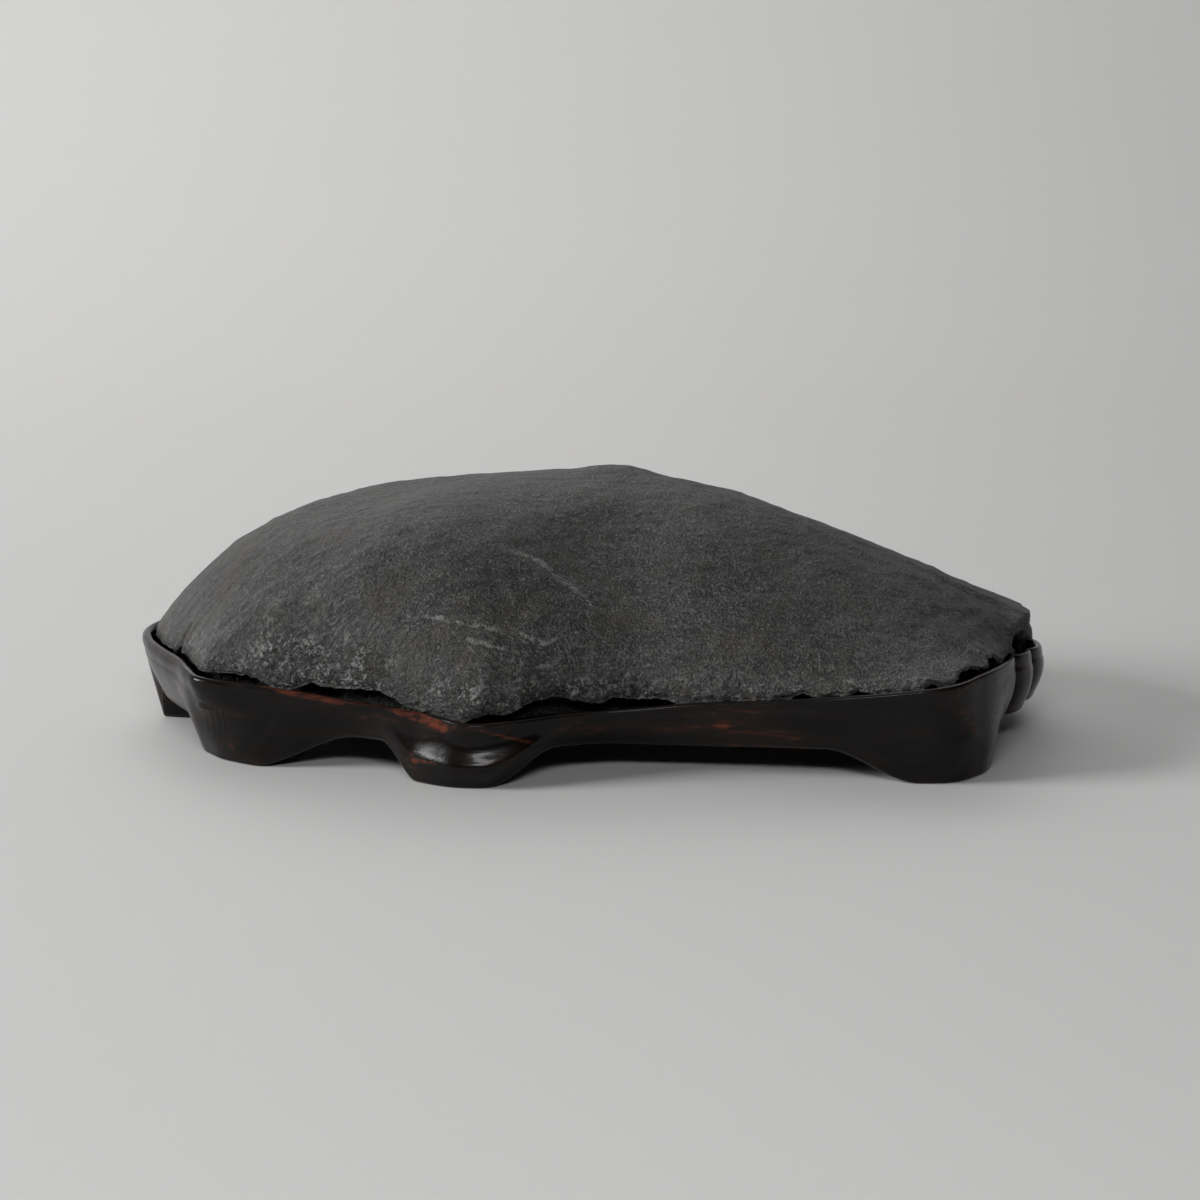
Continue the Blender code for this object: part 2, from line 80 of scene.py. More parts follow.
# The wall's lower edge: azimuth, height between the feet, how far it is drawn in from the rim, and the
# size of the round under it.
HEM = (
    (0, 10, 2, 1.2), (20, 10, 3.5, 1.2), (60, 10, 4.6, 1.2), (120, 10, 4.6, 1.2), (160, 10, 5.5, 1.4),
    (178, 10, 6, 1.6), (-169, 10, 6.5, 1.4), (-160, 10, 6.4, 1.2), (-156, 10.5, 4.6, 1.2),
    (-152, 10.8, 2.4, 1.4), (-147, 11, 3.2, 1.8), (-140, 11.1, 3, 2.6), (-131, 11.1, 1, 2.4),
    (-124, 11, -0.6, 1.6), (-116, 10.6, 0, 1.4), (-108, 10.5, 1.5, 1.4), (-94, 10.4, 4, 1.2),
    (-62, 9.8, 3.6, 1.2), (-42, 10.3, 4.4, 1.4), (-35.6, 10.3, 3.6, 1.4), (-31, 10.3, 1.6, 1.6),
    (-26.5, 10.3, 1.2, 1.6), (-21.5, 10.3, 3.4, 1.4), (-17, 10, 4.4, 1.2), (-11, 9.8, 2.6, 1.2),
)
# The rim: azimuth, thickness, and drop of its rounded shoulders.
RIM = (
    (0, 2.2, 0.8), (120, 2.2, 0.8), (150, 2.4, 1.0), (175, 3.2, 2.0), (195, 3.6, 2.4), (203, 3.0, 1.6),
    (210, 2.2, 0.8), (240, 2.2, 0.8),
)
# Upright creases that part the right end of the wall into convex lobes: azimuth and depth.
CREASES = ((-12.4, 2.8), (-4.8, 2.8), (5.2, 2.6), (13.4, 2.0))
CREASE_REACH = 3.6 * MM
INNER_FOLD = 0.55  # share of the creases' depth that shows inside the wall
LOBE_BULGE = 1.5 * MM
LOBE_SPREAD = (-3, 18)  # azimuth of the middle of the lobes, and where they have faded to each side
SPINE = 0.7  # the wall draws in towards a line along the middle, this share of the way out to each point
TANGENT_SPAN = math.radians(2)  # half the turn over which the rim's direction is measured
RIM_SAMPLES = 3601  # samples for lengths along the rim
CROWDING = (-2, 14, 1.2)  # steps are closer at the lobes: azimuth, spread and extra share

# ---------------------------------------------------------------- stand sizes

STAND_STEPS = 960  # steps round the stand
RIM_COVE = (0.16, 0.07, 0.2)  # faint hollow under the rim: level down the wall, spread, depth
RECESS_FLOOR = 17.3 * MM
RECESS_CORNER = 1.6 * MM  # size of the round between the wall and the recess floor
RECESS_FLAT = 5 * MM  # the floor is flat from this far inside the wall
BELLY = 12.6 * MM  # height of the underside between the feet
BELLY_RUN = 4 * MM  # run of the slope from the skirt's lower edge up to the belly
FLARE = 1.5  # power by which the wall's draw-in grows on the way down
HEM_ROUND = 0.8 * MM  # the skirt's lower edge turns under by this much
BEAD = 2.5 * MM  # width of the skirt's lower edge
SOLE_DEPTH = 15 * MM  # a sole's width from front to back
# A leg's profile as level down the wall, spread and share of the knee: hollow below the rim, then full.
LEG_PROFILE = ((0.3, 0.2, 0.05), (0.7, 0.25, -1.0))
# Feet: azimuth of the sole's middle, half the sole's length, and the run of the leg's sweep up to the
# skirt on the clockwise and the anticlockwise side.
FEET = (
    (-30.4, 17, 30, 18),
    (36, 15, 18, 18),
    (104, 16, 18, 18),
    (170.5, 14, 18, 5),
    (-156.0, 13.5, 16, 34),
    (-119.2, 12.2, 14, 24),
)
# Knees: azimuth of the middle, how far along the rim they reach to each side, and how far they swell.
KNEES = (
    (-30.4, 36, 1.8), (36, 30, 1.6), (104, 30, 1.6), (170.5, 26, -0.4), (-155, 30, 0.8), (-117, 38, 2.6),
    (-108, 24, 1.5),
)
WALL_LEVELS = 46
CORNER_RINGS, LIP_RINGS, HEM_RINGS = 5, 11, 8  # of the recess's corner, the rim's top and the hem's round
INNER_SHARES = (0.3, 0.6, 0.85)  # heights of the rings on the inside of the wall
SOLE_ROUND = 1.3 * MM  # the largest round along a sole's edge
LEAST_SOLE = 0.5 * MM  # the hem's flat is at least this wide
# The rim's front corners are sharp at the top and soft below it: azimuth, spread, and the turn over which
# the wall's line is levelled out there.
CORNERS = ((-157, 11, 7), (-115, 9, 6))
CORNER_RAMP = 0.6  # level down the wall at which the levelling is whole
CORNER_SAMPLES = 9
# Hand carving: dents and ripples of the front wall as x, z, half length, half height, tilt and depth.
CARVING = (
    (-41, 9.8, 9, 0.8, -4, 0.14),  # the groove between the two swellings of the middle foot's knee
    (122.5, 8, 4.0, 4.0, 0, 0.5),  # scoop on the right foot
    (122.5, 8, 7.5, 7.2, 0, -0.2),
    (-104, 11, 2.4, 10, -38, 0.5),  # fold down the right side of the left foot
    (-101, 13, 1.6, 10, -38, -0.4),
    (112, 20, 3.0, 9, 24, 0.25),  # fold down the right foot
    (84, 22, 22, 2.2, 3, 0.15),
    (-24, 19.5, 10, 1.4, 20, 0.2),
)
RIPPLES = (-118.5, 15, 4.5, 9, 2.1, 0.12)  # x, z, half width, half height, wave length and height
WAVER = (2.4 * MM, 0.5)  # the ripples waver on the way up: size and swing in mm
TOOL_MARKS = ((0.12, 19), (0.04, 6))  # height and size of the unevenness left by hand tools
TOOL_FADE = 2 * MM  # the marks fade in below the rim over this height
SOLE_FADE = (0.3 * MM, 1.5 * MM)  # and over the soles: where they start and over what height

# ---------------------------------------------------------------- stone sizes

GRID = 142  # steps from the summit to the edge; the ring k steps out has 8k points
SEAT_GAP = 0.6 * MM  # between the stone's edge and the inside of the rim
REST_GAP = 0.3 * MM  # under the stone
SUMMIT = (12, 8, 82.3)
OUTWARD_CROWDING = 0.35  # the rings are this much closer near the edge, and wider apart at the summit
# The dome's broken edge: azimuth, height of its lower lip above the rim, thickness of the broken face
# over the lip, and how far the lip is set back. Where the lip is well above the rim, a dark gap shows; deep
# under the lip the stone's colour is also painted near black as shade.
EDGE = (
    (0, 1.6, 11.4, -2.0), (8, 1.6, 10.6, -1.8), (16, 1.0, 8.0, 0), (28, 0.6, 5, 0.5), (45, 0, 3, 0),
    (60, 1.6, 2.4, 1.4), (75, -0.6, 2, 0), (110, -0.6, 1.8, 0), (120, 1.4, 1.6, 1.4), (133, -0.6, 1.6, 0),
    (150, 1.0, 1.6, 1), (165, -0.7, 1.4, 0.3), (182, -0.8, 1.4, 0.2), (189, -0.6, 1.4, 0.2),
    (190.5, 1.2, 1.4, 1.2), (192, -0.2, 1.4, 0.2), (198, -0.2, 1.4, 0.2), (201.5, 0.2, 1.2, 0.4),
    (203, 0.9, 1.2, 0.8), (205, 2.0, 1.2, 1.0), (207, 1.5, 1.2, 0.8), (208.4, 0.2, 1.4, 0.4),
    (209.4, -0.9, 1.6, 0), (211, -0.9, 1.6, 0), (212.4, 1.0, 1.4, 0.6), (213.4, 2.2, 1.2, 1.2),
    (217, 2.3, 1.4, 1.2), (219.6, 2.9, 1.4, 1.4), (222.5, 3.5, 1.4, 1.6), (224.5, 3.7, 1.4, 1.6),
    (226, 2.6, 1.4, 1.2), (228, 2.0, 1.4, 1.0), (229.5, 0.7, 1.6, 0.6), (232, 0.2, 1.6, 0.4),
    (234.5, -0.4, 1.8, 0.2), (238.5, -1.2, 1.8, 0), (243.5, -1.2, 2, 0), (245.5, 0.6, 1.6, 0.4),
    (247.5, 1.4, 1.4, 0.8), (251, 1.2, 1.4, 0.6), (253.5, 1.7, 1.4, 0.8), (255.2, 3.0, 1.2, 1.4),
    (257, 4.3, 1.2, 1.8), (261, 4.5, 1.4, 2), (264, 4.2, 1.4, 2), (266, 3.1, 1.4, 1.6), (270, 2.0, 1.4, 1),
    (273, 1.3, 1.4, 0.8), (276, 2.5, 1.2, 1), (279, 2.7, 1.2, 1.2), (281, 2.1, 1.2, 1),
    (284.5, 1.5, 1.2, 0.8), (288, 1.4, 1.4, 0.8), (291, 0.6, 1.6, 0.6), (293, -1.2, 1.8, 0),
    (305, -1.4, 1.8, 0), (311, -1.2, 1.8, 0), (312.5, 0.9, 1.4, 0.8), (314.5, -1.2, 1.8, 0),
    (317, -1, 1.8, 0), (318, 0.8, 1.4, 1.0), (320, -1.4, 1.8, 0), (323.5, -1.2, 1.8, 0),
    (324.5, 0.4, 1.6, 0.6), (326, -0.8, 1.8, 0), (327.5, -0.6, 1.6, 0), (328.7, 1.6, 1.4, 1.4),
    (331.5, 1.6, 1.6, 1.2), (333.5, 0.2, 2.6, 0.4), (335.8, -0.8, 3.2, 0), (337, 2.3, 2.8, 1.4),
    (340, 1.6, 4.2, 1), (341.5, -1.2, 5.6, 0), (344, -1.2, 7.0, 0), (348, -0.8, 8.6, 0), (351, 0, 9.6, 0),
    (352.5, 4.8, 6.0, 0.8), (356.5, 5.6, 6.6, 0.2), (358.5, 2.0, 10.8, -1.8),
)
EDGE_CHIPS = (0.4, 7)  # height and size of the small chips along the edge
EDGE_CRUMBS = ((0.28, 3.1), (0.16, 1.5))  # height and size of the crumbs broken from the lip
BITES = ((0.7, 4.6), (0.35, 1.9))  # how deep and how long the small bites into the outline are
# Share of the broken face's height that is worn round, where the dome bends down to it: azimuth, share.
SHOULDER = (
    (-34, 0), (-26, 0.6), (-14, 0.8), (-7, 0.7), (-2, 0.2), (10, 0.15), (24, 0),
    (165, 0), (180, 1), (195, 1), (210, 0),
)
SHOULDER_RUN = 0.075  # the worn shoulder's width, as a share of the way in to the summit
UNDERCUT = 8 * MM  # depth from the edge in to the root of the lip
LIP_SLOPE = 0.3 * MM  # rise of the lip's underside from its edge to its root
BASE_CORNER = 2 * MM  # drop of the chamfer round the flat base
FACE_LEAN = 0.14  # how far the broken face leans in, as a share of its height
FACE_RINGS = 5
# The dome's section from summit to edge is (1 - reach ** roundness) ** steepness.
SECTION = (
    (0, 1.55, 0.96), (45, 1.7, 0.9), (90, 2.1, 0.7), (135, 2.8, 0.62), (180, 4.9, 0.8), (225, 2.6, 0.63),
    (270, 1.9, 0.8), (315, 1.6, 0.94),
)
# Swells and hollows of the dome: x, y, length, width, heading in degrees and height.
SWELLS = (
    (9, 18, 13, 12, 0, 2.5),  # knob on the summit
    (-44, -46, 40, 15, 112, 2.8),  # spur running down to the front corner
    (4, -40, 34, 15, 140, -3.4),  # valley to the right of the spur
    (-92, -40, 15, 11, 20, -2.4),  # scooped hollow low on the left
    (-70, -46, 12, 8, 60, 1.6),
    (80, -28, 45, 20, -10, 1.2),
    (-74, 5, 30, 34, 0, -4.4),
    (-124, 4, 12, 30, 0, 1.8),
    (120, 6, 20, 40, 0, 2.4),
)
RELIEF = ((1.3, 38), (0.45, 13))  # height and size of the dome's random unevenness
LUMPS = ((0.16, 6.3), (0.16, 2.9))
GRAIN = ((0.18, 2.8, 8), (0.14, 2.0, 4.5))  # furrows along the grain: height, width and length
ROUNDING = np.radians(np.arange(-16, 17, 4))  # the rim's corners are rounded over these turns above the edge
SOFTENING = np.radians(np.arange(-32, 33, 8))  # the dome's outline is the edge's mean over these turns
EDGE_FADE = 6  # power by which the rim's own line comes in towards the edge
BITE_FADE = 14  # power by which the edge's bites come in
RELIEF_FADE = 6  # power by which the relief goes out towards the edge
# The grain dips over the left end: it falls away left of this x, by this slope for each millimetre.
GRAIN_DIP = (-30, 0.0122)
# Patches of broken, scaly, glossy slate on the front, where the slate's colour is also lightened as painted
# sheen and glints: x, z, half length, half height, tilt and strength.
SCALY = (
    (-96, 33, 9, 9, 20, 1.0),
    (-84, 29, 10, 4, 0, 0.9),
    (-74, 36, 6, 5, 10, 0.8),
    (-82, 35, 18, 9, 0, 0.5),
    (-34, 29, 22, 5, -6, 0.6),
    (6, 30, 20, 4, 4, 0.45),
    (-12, 38, 20, 8, 0, 0.15),
    (-92, 52, 12, 6, 10, 0.35),
    (44, 30, 16, 3, 0, 0.45),
)
SCALY_BAND = (0.5, 0.05)  # scales along the edge: strength, and width as a share of the way in
SCALY_RAGS = ((0.7, 11),)  # by how much, and over what size, the patches are ragged
SCALE_RELIEF = ((0.7, 4.4), (0.35, 2.2))  # height and size of the scales
SCALE_LEVEL = 0.3 * MM  # the scales' mean height, which is taken off
UNDER_SCALY = 0.6  # how scaly everything under the edge is
FACE_LAYERS = ((0.5, 3.4), (0.3, 1.6))  # height and size of the ragged layers in the broken face
LAYERED = (1, 1, 2.5)  # the layers are this much flatter than they are long
FINE_FADE = (0.6, 30)  # share of the fine relief that is lost at the edge, and its power
SCOOP = (-86, 34, 17, 11, 1.3, -69)  # the glossy hollow: x, z, half length, half height, depth, right end
SCOOP_END = 1.6 * MM  # run of the hollow's sudden right end
# Small pits and steps on the front: x, z, half length, half height, tilt and depth.
PITS = (
    (112, 46, 6.5, 0.9, -4, 0.5),
    (125, 43.2, 7, 1.0, -6, 0.6),
    (-24, 51.4, 5, 1.2, -12, 0.4),
    (-30, 47.2, 14, 0.8, -14, 0.25),
    (-46, 50.8, 16, 0.7, -12, 0.25),
    (-62, 44, 1.6, 9, -30, 0.5),
    (30, 52, 9, 0.8, 4, 0.2),
    (62, 61, 12, 0.8, 12, 0.2),
    (-8, 61, 14, 0.9, -42, 0.3),
)
# Pale scratches on the front, each a line of x and z.
SCRATCHES = (
    ((-26.5, 68.9), (-18.6, 66.8), (-13.8, 64.0), (-9.1, 60.4), (-4.3, 57.2), (0.5, 52.8)),
    ((-51.6, 51.6), (-43.6, 50.2), (-34.1, 48.6), (-26.2, 46.6)),
    ((-22.5, 47.2), (-18.4, 45.0), (-13.8, 42.8), (-10.2, 44.4)),
    ((-38.0, 44.8), (-32.4, 43.6), (-27.0, 42.2)),
    ((-24.0, 38.6), (-18.6, 36.8), (-12.2, 36.4)),
)


# ---------------------------------------------------------------- curves round the piece


def around(keys):
    """A smooth closed curve of value against azimuth, through (degrees, value) keys: cubic spans with
    the slope at each key taken from its neighbours."""
    keys = sorted((angle % 360, value) for angle, value in keys)
    angles, values = np.array(keys).T
    angles = np.concatenate([angles[-2:] - 360, angles, angles[:2] + 360])
    values = np.concatenate([values[-2:], values, values[:2]])
    slopes = np.gradient(values, angles)

    def at(azimuth):
        angle = np.degrees(azimuth) % 360
        i = np.clip(np.searchsorted(angles, angle, side="right") - 1, 1, len(angles) - 3)
        span = angles[i + 1] - angles[i]
        t = (angle - angles[i]) / span
        return (
            values[i] * (1 + 2 * t) * (1 - t) ** 2
            + values[i + 1] * t**2 * (3 - 2 * t)
            + span * slopes[i] * t * (1 - t) ** 2
            - span * slopes[i + 1] * t**2 * (1 - t)
        )

    return at


def broken(keys):
    """A closed curve of value against azimuth, in straight lines from key to key."""
    angles, values = np.array(keys).T
    return lambda azimuth: np.interp(np.degrees(azimuth), angles, values, period=360)


def smooth(t):
    """A soft step from 0 to 1: t * t * (3 - 2t)."""
    t = np.clip(t, 0, 1)
    return t * t * (3 - 2 * t)


def turned(x, y):
    """The azimuth of a place, in degrees."""
    return math.degrees(math.atan2(y, x))


def column(table, index, unit=MM):
    """Keys of azimuth and one column of a table."""
    return [(row[0], row[index] * unit) for row in table]


rim_radius = around([(turned(x, y), math.hypot(x, y) * MM) for x, y, _ in RIM_LINE])
rim_height = around([(turned(x, y), z * MM) for x, y, z in RIM_LINE])
rim_wall = around(column(RIM, 1))
rim_round = around(column(RIM, 2))
hem_height = around(column(HEM, 1))
hem_inset = around(column(HEM, 2))
hem_size = around(column(HEM, 3))
lip_rise = broken(column(EDGE, 1))
lip_thickness = broken(column(EDGE, 2))
lip_bite = broken(column(EDGE, 3))
shoulder = broken(SHOULDER)
roundness = around(column(SECTION, 1, 1))
steepness = around(column(SECTION, 2, 1))


def away(azimuth, degrees):
    """The signed angle from a direction given in degrees, in degrees from -180 to 180."""
    return (np.degrees(azimuth) - degrees + 180) % 360 - 180


def rim(azimuth):
    """The rim's outer edge on plan: its radius at an azimuth, as x and y."""
    radius = rim_radius(azimuth)
    return np.stack([radius * np.cos(azimuth), radius * np.sin(azimuth)], axis=-1)


def inward(azimuth):
    """The step towards the spine that moves one unit square to the rim."""
    along = rim(azimuth + TANGENT_SPAN) - rim(azimuth - TANGENT_SPAN)
    square = np.stack([-along[:, 1], along[:, 0]], axis=1) / np.linalg.norm(along, axis=1)[:, None]
    step = rim(azimuth) * (SPINE - 1, -1)
    return step / np.sum(step * square, axis=1)[:, None]


def crease(azimuth):
    """Depth of the wall's upright creases, each falling away from a sharp line."""
    total = np.zeros_like(azimuth)
    for degrees, depth in CREASES:
        distance = np.abs(np.radians(away(azimuth, degrees))) * rim_radius(azimuth)
        total = np.maximum(total, depth * MM * np.exp(-distance / CREASE_REACH))
    return total


def lobed(azimuth):
    """1 among the lobes of the right end, fading to 0 over the outer half of their reach."""
    middle, reach = LOBE_SPREAD
    return smooth(2 - 2 * np.abs(away(azimuth, middle)) / reach)


def ring(azimuth, distance, height):
    """Points a distance inside the rim's outer edge, at a height; either may change along the way."""
    distance = np.broadcast_to(distance, azimuth.shape)[:, None]
    height = np.broadcast_to(height, azimuth.shape)[:, None]
    return np.hstack([rim(azimuth) + inward(azimuth) * distance, height])


def shrunk(outer, share, middle=(0, 0)):
    """Points moved towards the middle, at their own heights; the share may change from point to point."""
    inner = outer.copy()
    share = np.broadcast_to(share, len(outer))[:, None]
    inner[:, :2] = np.array(middle) + (outer[:, :2] - middle) * share
    return inner


def azimuth_at(way):
    """The azimuth a share of the way round the rim, from 0 to 1, with more of the way at the lobes."""
    middle, spread, extra = CROWDING
    fine = np.linspace(0, 2 * math.pi, RIM_SAMPLES)
    weight = 1 + extra * np.exp(-((away(fine, middle) / spread) ** 2))
    lengths = np.linalg.norm(np.diff(rim(fine), axis=0), axis=1) * (weight[1:] + weight[:-1]) / 2
    walked = np.concatenate([[0], np.cumsum(lengths)])
    return np.interp(way % 1 * walked[-1], walked, fine)


# ---------------------------------------------------------------- noise and patches

LATTICE = np.random.default_rng(11).uniform(-1, 1, (32, 32, 32))
SKEW = np.linalg.qr(np.random.default_rng(5).normal(size=(3, 3)))[0]  # turns the noise's cells askew


def noise(points, height, size):
    """Smooth random heights up to a height each way, with swells about a size across: the values at a
    cell's eight corners, mixed by smooth weights."""
    scaled = points / (size * MM)
    cell = np.floor(scaled).astype(int)
    part = smooth(scaled - cell)
    total = np.zeros(len(points))
    for corner in np.ndindex(2, 2, 2):
        weight = np.prod(np.where(corner, part, 1 - part), axis=1)
        total += weight * LATTICE[tuple(((cell + corner) % len(LATTICE)).T)]
    return total * height * MM


def rough(points, layers):
    """A sum of noise layers, each a height and a size, in cells that are askew to the axes."""
    askew = points @ SKEW.T
    return sum(noise(askew + 7.7 * size * MM, height, size) for height, size in layers)


def scales(points, layers):
    """Rounded scales with sharp valleys between them: the size of the noise, whatever its sign."""
    askew = points @ SKEW
    return sum(np.abs(noise(askew + 3.3 * size * MM, 2 * height, size)) for height, size in layers)


def front(points):
    """1 on the front half, fading to 0 behind the middle."""
    return smooth(0.5 - points[:, 1] / (40 * MM))


def patch(points, x, z, length, height, tilt):
    """A soft ellipse on the front, seen square from the front: 1 in its middle, 0 far outside."""
    turn = math.radians(tilt)
    across = points[:, 0] - x * MM
    up = points[:, 2] - z * MM
    along = (across * math.cos(turn) + up * math.sin(turn)) / (length * MM)
    over = (up * math.cos(turn) - across * math.sin(turn)) / (height * MM)
    return np.exp(-(along**2) - over**2) * front(points)


def distance_to_lines(points, lines):
    """How far each point is from the nearest of some broken lines, seen square from the front."""
    seen = points[:, [0, 2]]
    nearest = np.full(len(points), 1.0)
    for line in lines:
        for start, end in zip(np.array(line[:-1]) * MM, np.array(line[1:]) * MM):
            run = end - start
            share = np.clip((seen - start) @ run / (run @ run), 0, 1)
            nearest = np.minimum(nearest, np.linalg.norm(seen - start - share[:, None] * run, axis=1))
    return np.where(points[:, 1] < 0, nearest, 1.0)


# ---------------------------------------------------------------- surfaces


def outward(steps_along, steps_across):
    """Unit normals of a grid of points: the cross product of its differences along both parameters."""
    square = np.cross(steps_along, steps_across)
    return square / np.maximum(np.linalg.norm(square, axis=-1, keepdims=True), 1e-12)


def band_faces(upper, lower):
    """Quads between two closed loops of vertex numbers that run anticlockwise, seen from above."""
    return np.stack([upper, lower, np.roll(lower, -1), np.roll(upper, -1)], axis=1)


def sheet_faces(numbers):
    """Quads of a grid of vertex numbers."""
    corners = [numbers[:-1, :-1], numbers[1:, :-1], numbers[1:, 1:], numbers[:-1, 1:]]
    return np.stack(corners, axis=-1).reshape(-1, 4)


def held_in(points, box):
    """Points of these tables, held inside the box of the CAD node that they replace."""
    low, high = (np.array(corner) + MIDDLE for corner in box)
    return np.clip(points, low, high)


def made_piece(name, points, quads, triangles, attributes, finish):
    """A mesh object of vertices and faces given as arrays, with a smooth surface and named values."""
    mesh = bpy.data.meshes.new(name)
    mesh.from_pydata((points - MIDDLE).tolist(), [], quads.tolist() + triangles.tolist())
    for label, values in attributes.items():
        kind, field = ("FLOAT_VECTOR", "vector") if values.ndim == 2 else ("FLOAT", "value")
        mesh.attributes.new(label, kind, "POINT").data.foreach_set(field, values.astype(np.float32).ravel())
    mesh.shade_smooth()
    mesh.materials.append(finish)
    piece = bpy.data.objects.new(name, mesh)
    bpy.context.scene.collection.objects.link(piece)
    return piece


# ---------------------------------------------------------------- stand


def feet(azimuth):
    """Share of a leg at each azimuth, 1 over a sole and 0 along the skirt, and the swell of its knee."""
    fine = np.linspace(-math.pi, math.pi, RIM_SAMPLES)
    walked = np.concatenate([[0], np.cumsum(np.linalg.norm(np.diff(rim(fine), axis=0), axis=1))])
    here = np.interp((azimuth + math.pi) % (2 * math.pi) - math.pi, fine, walked)

    def apart(degrees):
        middle = np.interp(math.radians((degrees + 180) % 360 - 180), fine, walked)
        return (here - middle + walked[-1] / 2) % walked[-1] - walked[-1] / 2

    share = np.zeros_like(azimuth)
    for degrees, half, run_clockwise, run_onward in FEET:
        distance = apart(degrees)
        run = np.where(distance < 0, run_clockwise, run_onward) * MM
        share = np.maximum(share, smooth(1 - (np.abs(distance) - half * MM) / run))
    knee = sum(
        swelling * MM * smooth(1 - np.abs(apart(degrees)) / (reach * MM))
        for degrees, reach, swelling in KNEES
    )
    return share, knee


def wall_inset(azimuth, level, knee):
    """How far the outside of the wall draws in, from level 0 at the rim to 1 at its lower edge. A leg
    hollows under the rim and swells at the knee; the lobes bulge halfway down."""
    leg = sum(share * math.exp(-(((level - at) / spread) ** 2)) for at, spread, share in LEG_PROFILE)
    bulge = LOBE_BULGE * math.sin(math.pi * level) * lobed(azimuth)
    at, spread, depth = RIM_COVE
    cove = depth * MM * math.exp(-(((level - at) / spread) ** 2))
    return hem_inset(azimuth) * level**FLARE + knee * leg - bulge + crease(azimuth) + cove


def eased(points, azimuth, level):
    """Points of a ring of the wall, moved on the corners by the way from the rim's line to its mean over
    the neighbouring azimuths, more and more from the rim down."""
    for middle, spread, turn in CORNERS:
        share = np.exp(-((away(azimuth, middle) / spread) ** 4)) * smooth(level / CORNER_RAMP)
        turns = np.radians(np.linspace(-turn, turn, CORNER_SAMPLES))
        levelled = np.mean([rim(azimuth + step) for step in turns], axis=0)
        points[:, :2] += (levelled - rim(azimuth)) * share[:, None]
    return points


def stand_rings(azimuth):
    """Rings from the edge of the recess floor, up the inside of the wall, over the rounded rim, down the
    outside, round the hem and under to the belly. Each ring is a distance inside the rim and a height."""
    top = rim_height(azimuth)
    foot, knee = feet(azimuth)
    bottom = hem_height(azimuth) * (1 - foot)
    shoulder_drop = rim_round(azimuth)
    inside = rim_wall(azimuth) + crease(azimuth) * INNER_FOLD
    corner = [
        (inside + RECESS_CORNER * (1 - math.sin(turn)), RECESS_FLOOR + RECESS_CORNER * (1 - math.cos(turn)))
        for turn in np.linspace(0, math.pi / 2, CORNER_RINGS)
    ]
    rise = top - shoulder_drop - RECESS_FLOOR - RECESS_CORNER
    inner = [(inside, RECESS_FLOOR + RECESS_CORNER + rise * share) for share in INNER_SHARES]
    half = (inside - crease(azimuth)) / 2
    lip = [
        (crease(azimuth) + half * (1 + math.cos(turn)), top - shoulder_drop * (1 - math.sin(turn)))
        for turn in np.linspace(0, math.pi, LIP_RINGS)
    ]
    size = np.minimum(hem_size(azimuth), SOLE_ROUND + hem_size(azimuth) * (1 - foot))
    drop = top - shoulder_drop - bottom - size
    levels = np.linspace(0, 1, WALL_LEVELS)[1:]
    wall = [(wall_inset(azimuth, level, knee), top - shoulder_drop - drop * level) for level in levels]
    low = wall_inset(azimuth, 1.0, knee)
    hem = [
        (low + size * (1 - math.cos(turn)), bottom + size * (1 - math.sin(turn)))
        for turn in np.linspace(0, math.pi / 2, HEM_RINGS)[1:]
    ]
    width = np.maximum(HEM_ROUND + BEAD + (SOLE_DEPTH - BEAD) * foot, size + LEAST_SOLE)
    under = [
        (low + width, bottom),
        (low + width + BELLY_RUN / 2, (bottom + BELLY) / 2),
        (low + width + BELLY_RUN, BELLY + 0 * azimuth),
    ]
    floor = [(inside + RECESS_FLAT, RECESS_FLOOR + 0 * azimuth)]
    places = floor + corner + inner + lip + wall + hem + under
    share = [0] * len(floor + corner + inner + lip) + [*levels] + [1] * len(hem + under)
    return np.array([eased(ring(azimuth, *place), azimuth, level) for place, level in zip(places, share)])


def carved(points, normals):
    """Points pushed along their normals by the marks of hand tools: a gentle unevenness, the dents and
    folds of CARVING, and upright ripples on the left foot. The soles stay flat."""
    push = rough(points, TOOL_MARKS)
    for x, z, length, height, tilt, depth in CARVING:
        push = push - depth * MM * patch(points, x, z, length, height, tilt)
    x, z, width, height, wave, swing = RIPPLES
    waver = WAVER[1] * np.sin(points[:, 2] / WAVER[0])
    waves = np.sin((points[:, 0] / MM + waver) * 2 * math.pi / wave)
    push = push + swing * MM * waves * patch(points, x, z, width, height, 0)
    outside = smooth((rim_height(np.arctan2(points[:, 1], points[:, 0])) - points[:, 2]) / TOOL_FADE)
    standing = smooth((points[:, 2] - SOLE_FADE[0]) / SOLE_FADE[1])
    upright = smooth(2 - 2 * np.abs(normals[:, 2]))
    return points + normals * (push * outside * standing * upright)[:, None]


def stand_points(steps):
    """The stand's rings and the two middle points that close it, as one array of points and faces."""
    azimuth = azimuth_at(np.arange(steps) / steps)
    rings = stand_rings(azimuth)
    floor = shrunk(rings[0], 0.5)
    belly = shrunk(rings[-1], 0.5)
    rings = np.concatenate([[floor], rings, [belly]])
    along = np.roll(rings, -1, axis=1) - np.roll(rings, 1, axis=1)
    across = np.gradient(rings, axis=0)
    normals = outward(across, along)
    count = len(rings)
    points = carved(rings.reshape(-1, 3), normals.reshape(-1, 3))
    numbers = np.arange(count * steps).reshape(count, steps)
    quads = np.concatenate([band_faces(numbers[i], numbers[i + 1]) for i in range(count - 1)])
    middles = np.array([[0, 0, RECESS_FLOOR], [0, 0, BELLY]])
    first, last = numbers[0], numbers[-1]
    top_fan = np.stack([np.full(steps, count * steps), first, np.roll(first, -1)], axis=1)
    low_fan = np.stack([last, np.full(steps, count * steps + 1), np.roll(last, -1)], axis=1)
    return np.concatenate([points, middles]), quads, np.concatenate([top_fan, low_fan])


# ---------------------------------------------------------------- stone


